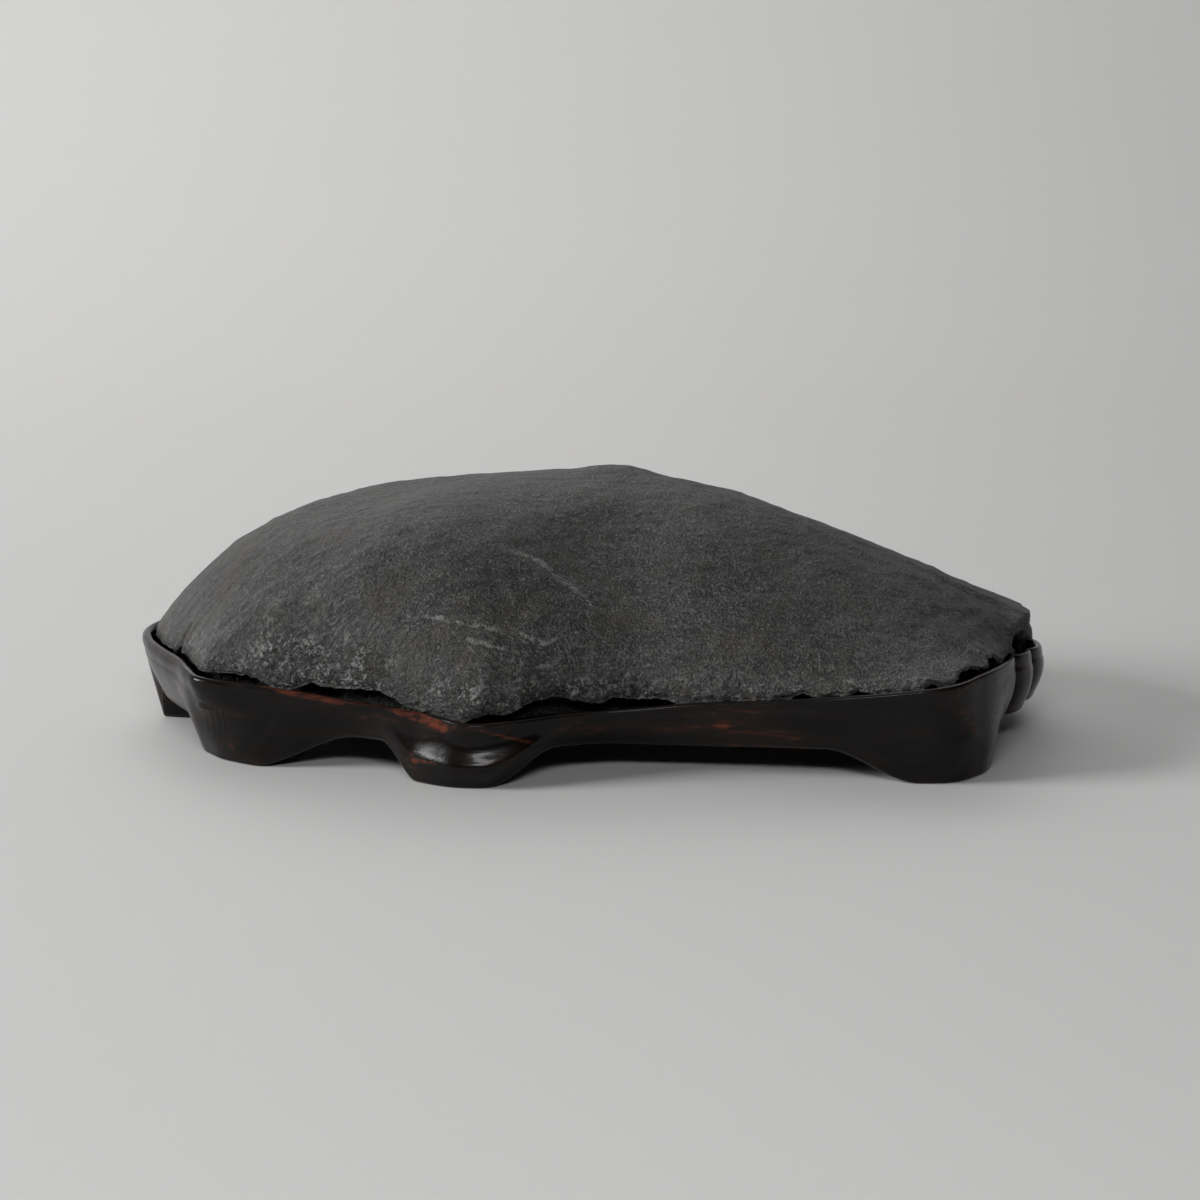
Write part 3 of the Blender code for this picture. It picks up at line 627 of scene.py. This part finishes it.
def swell(x, y):
    """Height of the dome's large swells and hollows at a point of the plan."""
    total = np.zeros_like(x)
    for cx, cy, length, width, heading, height in SWELLS:
        turn = math.radians(heading)
        along = (x - cx * MM) * math.cos(turn) + (y - cy * MM) * math.sin(turn)
        across = (y - cy * MM) * math.cos(turn) - (x - cx * MM) * math.sin(turn)
        total += height * MM * np.exp(-((along / (length * MM)) ** 2) - (across / (width * MM)) ** 2)
    return total


def softened(curve, azimuth):
    """The mean of a curve over the neighbouring azimuths."""
    return np.mean([curve(azimuth + turn) for turn in SOFTENING], axis=0)


def seat_line(azimuth):
    """How far inside the rim's outer edge the stone may come."""
    return rim_wall(azimuth) + SEAT_GAP + INNER_FOLD * CREASES[0][1] * MM * lobed(azimuth)


def lip_line(azimuth):
    """The lip's distance inside the rim and its height, with chips, crumbs and bites."""
    along = ring(azimuth, 0, 0)
    height = rim_height(azimuth) + lip_rise(azimuth) + noise(along, *EDGE_CHIPS) + rough(along, EDGE_CRUMBS)
    bites = np.abs(rough(along + 0.05, BITES))
    return seat_line(azimuth) + lip_bite(azimuth) + bites, height


def dome(azimuth, reach):
    """The top of the stone, before its fine relief. A point lies on the line from the summit to the
    outline, at a reach from 0 to 1; the outline is a softened edge that takes on the rim's own line by one
    power of the reach, and the edge's bites and chips by a higher one. Its height falls from the summit to
    the edge as (1 - reach ** p) ** q, with p and q changing round the stone. Swells and noise are added
    that fade towards the edge, and the last of the way bends down as a square where the edge is worn."""
    back, lip = lip_line(azimuth)
    thick = lip_thickness(azimuth)
    seat = seat_line(azimuth)
    worn = thick * shoulder(azimuth)
    line = np.mean([ring(azimuth + turn, seat, rim_height(azimuth) + thick) for turn in ROUNDING], axis=0)
    edge = ring(azimuth, back + FACE_LEAN * thick, lip + thick)
    reach_out = softened(rim_radius, azimuth) - seat
    level = softened(rim_height, azimuth) + softened(lip_thickness, azimuth)
    soft = np.stack([reach_out * np.cos(azimuth), reach_out * np.sin(azimuth), level], axis=1)
    summit = np.array(SUMMIT) * MM
    outline = soft + (line - soft) * reach[:, None] ** EDGE_FADE + (edge - line) * reach[:, None] ** BITE_FADE
    points = shrunk(outline, reach, summit[:2])
    points[:, 2] += (summit[2] - points[:, 2]) * (1 - reach ** roundness(azimuth)) ** steepness(azimuth)
    relief = swell(points[:, 0], points[:, 1]) + sum(noise(points, *layer) for layer in RELIEF)
    points[:, 2] += relief * (1 - reach**RELIEF_FADE)
    points[:, 2] -= worn * np.maximum(1 - (1 - reach) / SHOULDER_RUN, 0) ** 2
    return points


def scaly(points, reach):
    """How broken and scaly the surface is, from 0 to 1: the patches of SCALY and a band along the edge."""
    spots = [strength * patch(points, *place) for *place, strength in SCALY]
    strength, width = SCALY_BAND
    band = strength * smooth(1 - (1 - reach) / width) * smooth(0.6 - points[:, 1] / (50 * MM))
    ragged = 1 + rough(points, SCALY_RAGS) / MM
    return np.clip((np.sum(spots, axis=0) + band) * ragged, 0, 1)


def along_grain(points):
    """Coordinates that follow the grain: x along it, and a height that drops away over the left end."""
    start, slope = GRAIN_DIP
    past = np.minimum(points[:, 0] - start * MM, 0)
    dipped = points.copy()
    dipped[:, 2] += 0.5 * slope / MM * past**2
    return dipped


def relief(points, broken_share):
    """Fine height of the weathered surface: lumps, furrows drawn out along the grain, small pits and
    steps, the scooped hollow with its sudden right end, and the scales of broken patches."""
    grain = along_grain(points)
    height = rough(points, LUMPS)
    for tall, width, length in GRAIN:
        height += rough(grain * (width / length, 1, 1), ((tall, width),))
    for *place, depth in PITS:
        height -= depth * MM * patch(points, *place)
    x, z, length, tall, depth, end = SCOOP
    inside = smooth((end * MM - points[:, 0]) / SCOOP_END)
    height -= depth * MM * patch(points, x, z, length, tall, 0) * inside
    return height + (scales(points, SCALE_RELIEF) - SCALE_LEVEL) * broken_share


def stone_points(grid):
    """The stone: a square grid laid over the dome, whose squares become rings, then rings under it. A
    grid point's reach is the larger of its two coordinates, and its azimuth goes by its place along the
    square through it, so a ring k steps out has 8k points and the cells stay about the same size. With
    the points come how scaly each is, and a mask of painted shade that is 1 under the lip, where the slate's
    colour is darkened to near black."""
    steps = np.arange(-grid, grid + 1) / grid
    u, v = (values.ravel() for values in np.meshgrid(steps, steps, indexing="ij"))
    reach = np.maximum(np.abs(u), np.abs(v))
    sideways = np.abs(u) >= np.abs(v)
    long_side = np.where(reach == 0, 1, np.where(sideways, u, v))
    slant = np.where(sideways, v, -u) / long_side
    side = np.where(sideways, np.where(u >= 0, 0, 2), np.where(v >= 0, 1, 3))
    azimuth = azimuth_at(side / 4 + slant / 8)
    reach = reach * (1 + OUTWARD_CROWDING * (1 - reach))
    points = dome(azimuth, reach)
    across = 2 * grid + 1
    sheet = points.reshape(across, across, 3)
    normals = outward(np.gradient(sheet, axis=0), np.gradient(sheet, axis=1)).reshape(-1, 3)
    broken_share = scaly(points, reach)
    fading = 1 - FINE_FADE[0] * reach ** FINE_FADE[1]
    points = points + normals * (relief(points, broken_share) * fading)[:, None]

    numbers = np.arange(across**2).reshape(across, across)
    right, back = numbers[-1], numbers[::-1, -1]
    left, fore = numbers[0, ::-1], numbers[:, 0]
    loop = np.concatenate([right[grid:-1], back[:-1], left[:-1], fore[:-1], right[:grid]])
    under = underside(azimuth_at(np.arange(len(loop)) / len(loop)), points[loop])
    low_numbers = len(points) + np.arange(under[..., 0].size).reshape(len(under), -1)
    loops = [loop, *low_numbers]
    quads = np.concatenate([sheet_faces(numbers), *[band_faces(a, b) for a, b in zip(loops, loops[1:])]])
    whole = np.concatenate([points, under.reshape(-1, 3), [[0, 0, RECESS_FLOOR + REST_GAP]]])
    last = low_numbers[-1]
    fan = np.stack([last, np.full(len(loop), len(whole) - 1), np.roll(last, -1)], axis=1)
    shares = np.concatenate([broken_share, np.full(len(whole) - len(points), UNDER_SCALY)])
    # Painted shade: 1 from just under the lip in to the root and over the base, where the slate's colour is
    # darkened to near black to stand in for the shade there.
    sunk = np.zeros(len(whole))
    sunk[len(points) + (FACE_RINGS + 1) * len(loop) :] = 1
    return whole, quads, fan, shares, sunk


def underside(azimuth, edge):
    """Rings from the dome's edge down its broken face, in under the lip, down the root and over the flat
    base, with ragged layers in the face and under the lip."""
    back, lip = lip_line(azimuth)
    lip_ring = ring(azimuth, back, lip)
    root = seat_line(azimuth) + UNDERCUT
    face = [edge + (lip_ring - edge) * share for share in np.linspace(0, 1, FACE_RINGS + 1)[1:]]
    inner = [ring(azimuth, back + (root - back) * share, lip + LIP_SLOPE * share) for share in (0.25, 0.6, 1)]
    floor = RECESS_FLOOR + REST_GAP
    side = [ring(azimuth, root, lip + (floor + BASE_CORNER - lip) * share) for share in (0.35, 0.7, 1)]
    base = ring(azimuth, root + 2 * BASE_CORNER, floor)
    rings = np.array([*face, *inner, *side, base, shrunk(base, 0.66), shrunk(base, 0.33)])
    flat = rings.reshape(-1, 3)
    free = smooth((flat[:, 2] - floor) / (2 * MM))
    inwards = np.concatenate([inward(azimuth)] * len(rings))
    flat[:, :2] += inwards * (scales(flat * LAYERED, FACE_LAYERS) * free)[:, None]
    return rings


# ---------------------------------------------------------------- shader expressions


class Wire:
    """A shader value that can be used in Python arithmetic: each operation adds its Math node."""

    def __init__(self, shader, socket):
        self.shader = shader
        self.socket = socket

    def math(self, operation, first, second):
        return self.shader.node("ShaderNodeMath", {"operation": operation}, {0: first, 1: second})

    def __add__(self, other):
        return self.math("ADD", self, other)

    def __radd__(self, other):
        return self.math("ADD", other, self)

    def __sub__(self, other):
        return self.math("SUBTRACT", self, other)

    def __rsub__(self, other):
        return self.math("SUBTRACT", other, self)

    def __mul__(self, other):
        return self.math("MULTIPLY", self, other)

    def __rmul__(self, other):
        return self.math("MULTIPLY", other, self)


class Shader:
    """A material and its nodes, with Object coordinates to start from."""

    def __init__(self, name):
        self.material = bpy.data.materials.new(name)
        self.material.use_nodes = True
        self.tree = self.material.node_tree
        self.surface = self.tree.nodes["Principled BSDF"]
        self.place = self.node("ShaderNodeTexCoord", output="Object")

    def node(self, kind, settings=None, inputs=None, output=0):
        """A node of a type, its settings made first, then the values or links of its sockets."""
        made = self.tree.nodes.new(kind)
        for setting, value in (settings or {}).items():
            setattr(made, setting, value)
        self.plug(made, inputs or {})
        return Wire(self, made.outputs[output])

    def plug(self, made, inputs):
        for socket, value in inputs.items():
            if isinstance(value, Wire):
                self.tree.links.new(value.socket, made.inputs[socket])
            else:
                made.inputs[socket].default_value = value

    def attribute(self, name, output="Fac"):
        return self.node("ShaderNodeAttribute", {"attribute_name": name}, output=output)

    def stretched(self, vector, factors):
        return self.node("ShaderNodeVectorMath", {"operation": "MULTIPLY"}, {0: vector, 1: factors})

    def shifted(self, vector, other):
        return self.node("ShaderNodeVectorMath", {"operation": "ADD"}, {0: vector, 1: other})

    def noise(self, vector, scale, detail=2.0, roughness=0.5, output="Fac", distortion=0.0):
        sockets = {"Vector": vector, "Scale": scale, "Detail": detail, "Roughness": roughness}
        return self.node("ShaderNodeTexNoise", None, {**sockets, "Distortion": distortion}, output)

    def step(self, value, low, high):
        """A smooth rise from 0 to 1 as the value goes from low to high."""
        sockets = {"Value": value, "From Min": low, "From Max": high}
        return self.node("ShaderNodeMapRange", {"interpolation_type": "SMOOTHSTEP"}, sockets)

    def mixed(self, share, first, second):
        """A colour that goes from the first to the second as the share goes from 0 to 1."""
        return self.node("ShaderNodeMix", {"data_type": "RGBA"}, {0: share, 6: first, 7: second}, 2)

    def bump(self, height):
        """A normal that follows a height in metres."""
        return self.node("ShaderNodeBump", None, {"Height": height, "Distance": 1.0, "Strength": 1.0})


def rgba(colour, factor=1.0):
    """An opaque colour, made lighter or darker by a factor."""
    return (*[value * factor for value in colour], 1.0)


def slate(look):
    """Dark slate: charcoal with faint warm and cool clouds, a fine crystalline grain drawn out along the
    bedding, pale scratches, and scaly patches that are broken fresh and shine. The broken patches are made
    lighter and flecked with pale points, partly the tone of fresh slate and partly painted sheen and glints;
    under the lip the colour is painted near black as shade."""
    shader = Shader("slate")
    grain = shader.attribute("grain", "Vector")
    broken_share = shader.attribute("broken")
    clouds = shader.noise(shader.place, 24, 3, 0.55)
    tint = shader.noise(shader.place, 60, 2, 0.5)
    furrows = shader.noise(shader.stretched(grain, (0.14, 1, 1)), 420, 3, 0.6, distortion=0.3)
    crystals = shader.noise(shader.stretched(grain, (0.6, 1, 1)), 750, 3, 0.75, distortion=0.3)
    dust = shader.noise(shader.stretched(grain, (0.8, 1, 1)), 1500, 1, 0.7)
    crumbs = shader.noise(shader.place, 380, 4, 0.7, distortion=1.4)
    knots = shader.noise(shader.place, 110, 2, 0.5)

    tone = 0.2 * furrows + 0.35 * crystals + 0.1 * clouds + 0.35 * dust
    colour = shader.mixed(shader.step(tone, 0.42, 0.58), rgba(look.dark), rgba(look.light))
    salt = shader.step(0.4 * crystals + 0.6 * dust, 0.55, 0.64)
    colour = shader.mixed(salt * 0.4, colour, rgba(look.scratch))
    colour = shader.mixed(shader.step(tint, 0.42, 0.68) * 0.35, colour, rgba(look.warm))
    line = shader.attribute("scratch") + 0.0016 * (furrows - 0.5)
    pale = shader.step(line, 0.0010, 0.0002) * shader.step(crystals, 0.40, 0.56)
    # Pale flecks on the broken patches: partly light chips of fresh slate, partly painted glints.
    flecks = shader.noise(shader.place, 760, 2, 0.6, distortion=0.8)
    flecks_and_painted_glints = shader.step(0.5 * crumbs + 0.5 * flecks + 0.3 * (knots - 0.5), 0.54, 0.6) * broken_share
    colour = shader.mixed(pale * 0.75, colour, rgba(look.scratch))
    # Broken patches are lighter: partly the tone of fresh broken slate, partly painted sheen.
    colour = shader.mixed(broken_share * 0.2, colour, rgba(look.light, 1.7))
    colour = shader.mixed(flecks_and_painted_glints * 0.8, colour, rgba(look.scratch, 1.5))
    # Painted shade: near black under the lip, down the root and over the base.
    colour = shader.mixed(shader.attribute("sunk") * 0.85, colour, rgba((0, 0, 0)))

    shine = look.roughness - 0.32 * broken_share + 0.25 * (crystals - 0.5) - 0.1 * (furrows - 0.5)
    height = 0.0005 * furrows + 0.0010 * crystals + 0.0006 * dust + broken_share * 0.003 * crumbs
    shader.plug(shader.surface, {
        "Base Color": colour,
        "Roughness": shine,
        "Specular IOR Level": 0.5,
        "Normal": shader.bump(height),
    })
    return shader.material


def rosewood(look):
    """Old polished rosewood: near-black brown with red-brown streaks along the plank, fine pores, and a
    thin coat of polish that is a little uneven."""
    shader = Shader("rosewood")
    warp = shader.noise(shader.place, 9, 2, 0.5, "Color")
    bent = shader.shifted(shader.place, shader.stretched(warp, (0.004, 0.012, 0.012)))
    plank = shader.stretched(bent, (0.1, 1, 1))
    bands = shader.noise(plank, 150, 3, 0.55)
    fine = shader.noise(plank, 700, 3, 0.6)
    pores = shader.noise(shader.stretched(shader.place, (0.06, 1, 1)), 2300, 1, 0.5)
    cloud = shader.noise(shader.place, 26, 2, 0.5)
    flame = shader.attribute("redness")

    colour = shader.mixed(shader.step(bands, 0.4, 0.66), rgba(look.dark), rgba(look.brown))
    streak = shader.step(bands * 0.6 + fine * 0.4 + 0.16 * cloud, 0.64, 0.76)
    lit = shader.step(fine + bands + 0.55 * flame, 1.28, 1.8) * shader.step(flame, 0.1, 0.7)
    colour = shader.mixed(streak * 0.25 + lit * 0.85, colour, rgba(look.red))
    smudge = shader.noise(shader.place, 75, 3, 0.6)
    shader.plug(shader.surface, {
        "Base Color": colour,
        "Roughness": look.roughness + 0.12 * (smudge - 0.5) + 0.08 * (fine - 0.5),
        "Coat Weight": 0.1 + 0.15 * (smudge - 0.5),
        "Coat Roughness": 0.12,
        "Specular IOR Level": 0.17,
        "Normal": shader.bump(0.00003 * pores + 0.00005 * fine + 0.00012 * smudge),
    })
    return shader.material


def plaster(look):
    """Pale plaster of the floor, almost even in tone."""
    shader = Shader("plaster")
    clouds = shader.noise(shader.place, 3, 4, 0.55)
    shade = shader.mixed(clouds, rgba(look.floor, 0.96), rgba(look.floor))
    shader.plug(shader.surface, {"Base Color": shade, "Roughness": 0.7})
    return shader.material


# Red streaks of the front wall: x, z, half length, half height, tilt and strength.
FLAMES = (
    (-100, 27.5, 16, 1.3, -13, 1.2),
    (-86, 25, 18, 2.2, -8, 0.8),
    (-54, 21.8, 11, 1.3, -10, 1.2),
    (-56, 21.2, 15, 1.8, -12, 0.6),
    (-50, 20, 7, 1.6, -16, 0.7),
    (-25, 16.4, 11, 1.1, -17, 1.1),
    (-55, 10, 6, 3, -20, 0.6),
    (-52, 7.6, 9, 0.7, 6, 0.8),
    (-111, 8, 7, 1.2, 0, 0.55),
    (-115.5, 5.5, 6, 2.0, 0, 0.45),
    (-106, 20, 10, 1.2, -10, 0.6),
    (42, 17.5, 4.5, 2.0, 5, 0.95),
    (66, 14, 5, 1.6, 10, 0.5),
    (40, 23.5, 18, 1.0, 3, 0.45),
    (84, 26, 7, 1.4, 5, 0.6),
    (110, 26, 9, 2.0, 8, 0.7),
    (93, 16, 6, 1.6, 25, 0.6),
    (128, 22, 5, 4.0, 60, 0.6),
    (100, 4, 6, 2.0, 10, 0.5),
)


def flames(points):
    """How red the wood is, from the streaks of FLAMES on the front."""
    return np.clip(sum(strength * patch(points, *place) for *place, strength in FLAMES), 0, 1)


# ---------------------------------------------------------------- settings


class StoneLook(PropertyGroup):
    dark: FloatVectorProperty(
        name="Dark", description="The slate's darkest colour", subtype="COLOR",
        default=(0.0075, 0.0073, 0.0070),
    )
    # Made lighter, this is also the colour of the painted sheen on broken patches.
    light: FloatVectorProperty(
        name="Light", description="The slate's lightest colour", subtype="COLOR",
        default=(0.053, 0.051, 0.0485),
    )
    warm: FloatVectorProperty(
        name="Warm", description="Colour of the faint warm clouds", subtype="COLOR",
        default=(0.036, 0.031, 0.026),
    )
    # Made lighter, this is also the colour of the painted glints on broken patches.
    scratch: FloatVectorProperty(
        name="Scratches", description="Colour of scratches and flecks", subtype="COLOR",
        default=(0.20, 0.20, 0.195),
    )
    roughness: FloatProperty(
        name="Roughness", description="Roughness of the weathered slate", min=0, max=1, default=0.56
    )


class StandLook(PropertyGroup):
    dark: FloatVectorProperty(
        name="Dark", description="The wood's darkest colour", subtype="COLOR",
        default=(0.0032, 0.0025, 0.0021),
    )
    brown: FloatVectorProperty(
        name="Brown", description="The wood's lighter bands", subtype="COLOR",
        default=(0.0085, 0.0053, 0.0040),
    )
    red: FloatVectorProperty(
        name="Red", description="The wood's red streaks", subtype="COLOR", default=(0.13, 0.030, 0.013)
    )
    roughness: FloatProperty(
        name="Roughness", description="Roughness of the wood under its polish", min=0, max=1, default=0.26
    )


class StageLook(PropertyGroup):
    floor: FloatVectorProperty(
        name="Floor", description="Colour of the floor and backdrop", subtype="COLOR",
        default=(0.62, 0.615, 0.61),
    )
    width_of_floor: FloatProperty(
        name="Floor Width", description="Width of the floor and backdrop", unit="LENGTH", default=9.0
    )
    backdrop: FloatProperty(
        name="Backdrop", description="From the middle to the upright backdrop", unit="LENGTH", default=1.1
    )
    elevation: FloatProperty(
        name="Elevation", description="How far the camera looks down", subtype="ANGLE",
        default=math.radians(13),
    )
    distance: FloatProperty(
        name="Distance", description="From the camera to what it looks at", unit="LENGTH", default=1.2
    )
    width: FloatProperty(
        name="Width", description="Width of the view at that distance", unit="LENGTH", default=0.3834
    )
    aim: FloatVectorProperty(
        name="Aim", description="The point that the camera looks at", subtype="XYZ", unit="LENGTH",
        default=(0.0025, -0.0452, 0.053),
    )
    side: FloatProperty(
        name="Side Light", description="Power of the low light on the left", unit="POWER", default=63.0
    )
    front: FloatProperty(
        name="Front Light", description="Power of the front light", unit="POWER", default=6.5
    )
    top: FloatProperty(name="Top Light", description="Power of the overhead light", unit="POWER", default=2.2)
    back: FloatProperty(name="Back Light", description="Power of the light behind", unit="POWER", default=3.4)
    sky: FloatProperty(name="Sky", description="Brightness of the surroundings", min=0, default=0.02)


# ---------------------------------------------------------------- operators


class ROCK_OT_stone(Operator):
    """Make the stone, a low slate mound with a broken edge"""

    bl_idname = "rock.stone"
    bl_label = "Add Stone"

    def execute(self, context):
        points, quads, fan, broken_share, sunk = stone_points(GRID)
        points = held_in(points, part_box("stone"))
        values = {
            "grain": along_grain(points),
            "broken": broken_share,
            "scratch": distance_to_lines(points, SCRATCHES),
            "sunk": sunk,
        }
        stone = made_piece("slate_mound", points, quads, fan, values, slate(context.scene.rock_stone))
        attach(stone, "root")
        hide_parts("stone")
        return {"FINISHED"}


class ROCK_OT_stand(Operator):
    """Make the stand, a shallow hardwood tray carved to fit the stone, on feet that run out of its skirt"""

    bl_idname = "rock.stand"
    bl_label = "Add Stand"

    def execute(self, context):
        points, quads, fans = stand_points(STAND_STEPS)
        points = held_in(points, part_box("stand"))
        values = {"redness": flames(points)}
        stand = made_piece("carved_stand", points, quads, fans, values, rosewood(context.scene.rock_stand))
        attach(stand, "root")
        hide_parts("stand")
        return {"FINISHED"}


# The lights: name, width and height, place, and what each faces.
LIGHTS = (
    ("side", (1.0, 0.9), (-2.4, -0.52, 1.05), (0, 0, 0.03)),
    ("front", (0.6, 0.2), (-0.02, -1.25, 0.85), (0, -0.05, 0.03)),
    ("top", (1.3, 1.3), (0, 0.42, 1.35), (0, 0.1, 0)),
    ("back", (1.3, 0.5), (-0.2, 0.95, 0.75), (0, 0, 0)),
)
SKY_COLOUR = (0.95, 0.97, 1.0)
BEND = 0.5  # radius of the bend from the floor up to the backdrop
FLOOR_FRONT = (-4.0, -1.0)  # where the floor's rows before the object lie
BACKDROP_ROWS = (1.5, 3.5)  # heights of the upright's rows
FAR = 100  # what is beyond this isn't drawn


def area_light(name, power, size, place, target):
    """A rectangular soft light at a place, turned to face a target."""
    lamp = bpy.data.lights.new(name, "AREA")
    lamp.shape = "RECTANGLE"
    lamp.size, lamp.size_y = size
    lamp.energy = power
    light = bpy.data.objects.new(name, lamp)
    light.location = place
    light.rotation_euler = (Vector(target) - Vector(place)).to_track_quat("-Z", "Y").to_euler()
    bpy.context.scene.collection.objects.link(light)


def backdrop_points(width, distance):
    """A sheet that lies flat in front and curves up behind: a straight run, a quarter circle and an
    upright, each carried from left to right."""
    turns = np.linspace(0, math.pi / 2, 25)
    deep = np.concatenate([FLOOR_FRONT, distance - BEND + BEND * np.sin(turns), [distance, distance]])
    high = np.concatenate([[0, 0], BEND - BEND * np.cos(turns), BACKDROP_ROWS])
    x, y = np.meshgrid(np.linspace(-width / 2, width / 2, 9), deep, indexing="ij")
    points = np.stack([x, y, np.broadcast_to(high, x.shape)], axis=-1).reshape(-1, 3)
    return points, sheet_faces(np.arange(x.size).reshape(x.shape))


class ROCK_OT_stage(Operator):
    """Make the pale floor with its backdrop, the soft lights and the camera"""

    bl_idname = "rock.stage"
    bl_label = "Add Stage"

    def execute(self, context):
        scene = context.scene
        look = scene.rock_stage
        points, quads = backdrop_points(look.width_of_floor, look.backdrop)
        mesh = bpy.data.meshes.new("floor")
        mesh.from_pydata(points.tolist(), [], quads.tolist())
        mesh.shade_smooth()
        mesh.materials.append(plaster(look))
        floor = bpy.data.objects.new("floor", mesh)
        scene.collection.objects.link(floor)

        world = bpy.data.worlds.new("surroundings")
        world.use_nodes = True
        background = world.node_tree.nodes["Background"]
        background.inputs["Color"].default_value = rgba(SKY_COLOUR)
        background.inputs["Strength"].default_value = look.sky
        scene.world = world
        for name, *setting in LIGHTS:
            area_light(name, getattr(look, name), *setting)

        camera = bpy.data.objects.new("camera", bpy.data.cameras.new("camera"))
        camera.data.lens = camera.data.sensor_width * look.distance / look.width
        camera.data.clip_end = FAR
        away_from = Vector((0, -math.cos(look.elevation), math.sin(look.elevation)))
        camera.location = Vector(look.aim) + away_from * look.distance
        camera.rotation_euler = (math.pi / 2 - look.elevation, 0, 0)
        scene.collection.objects.link(camera)
        scene.camera = camera
        scene.view_settings.view_transform = "Standard"
        return {"FINISHED"}


class ROCK_PT_sidebar(Panel):
    """Lists the pieces and their settings in the 3D view's sidebar"""

    bl_label = "Scholar's Rock"
    bl_space_type = "VIEW_3D"
    bl_region_type = "UI"
    bl_category = "Rock"

    def draw(self, context):
        for operator, look in STEPS:
            box = self.layout.box()
            box.operator(operator.bl_idname)
            settings = getattr(context.scene, look)
            for name in settings.__annotations__:
                box.prop(settings, name)


STEPS = ((ROCK_OT_stone, "rock_stone"), (ROCK_OT_stand, "rock_stand"), (ROCK_OT_stage, "rock_stage"))
CLASSES = (StoneLook, StandLook, StageLook, ROCK_OT_stone, ROCK_OT_stand, ROCK_OT_stage, ROCK_PT_sidebar)


def register():
    for kind in CLASSES:
        bpy.utils.register_class(kind)
    bpy.types.Scene.rock_stone = PointerProperty(type=StoneLook)
    bpy.types.Scene.rock_stand = PointerProperty(type=StandLook)
    bpy.types.Scene.rock_stage = PointerProperty(type=StageLook)


def unregister():
    del bpy.types.Scene.rock_stage
    del bpy.types.Scene.rock_stand
    del bpy.types.Scene.rock_stone
    for kind in reversed(CLASSES):
        bpy.utils.unregister_class(kind)


def main():
    register()
    bpy.ops.rock.stone()
    bpy.ops.rock.stand()
    bpy.ops.rock.stage()


if __name__ == "__main__":
    main()
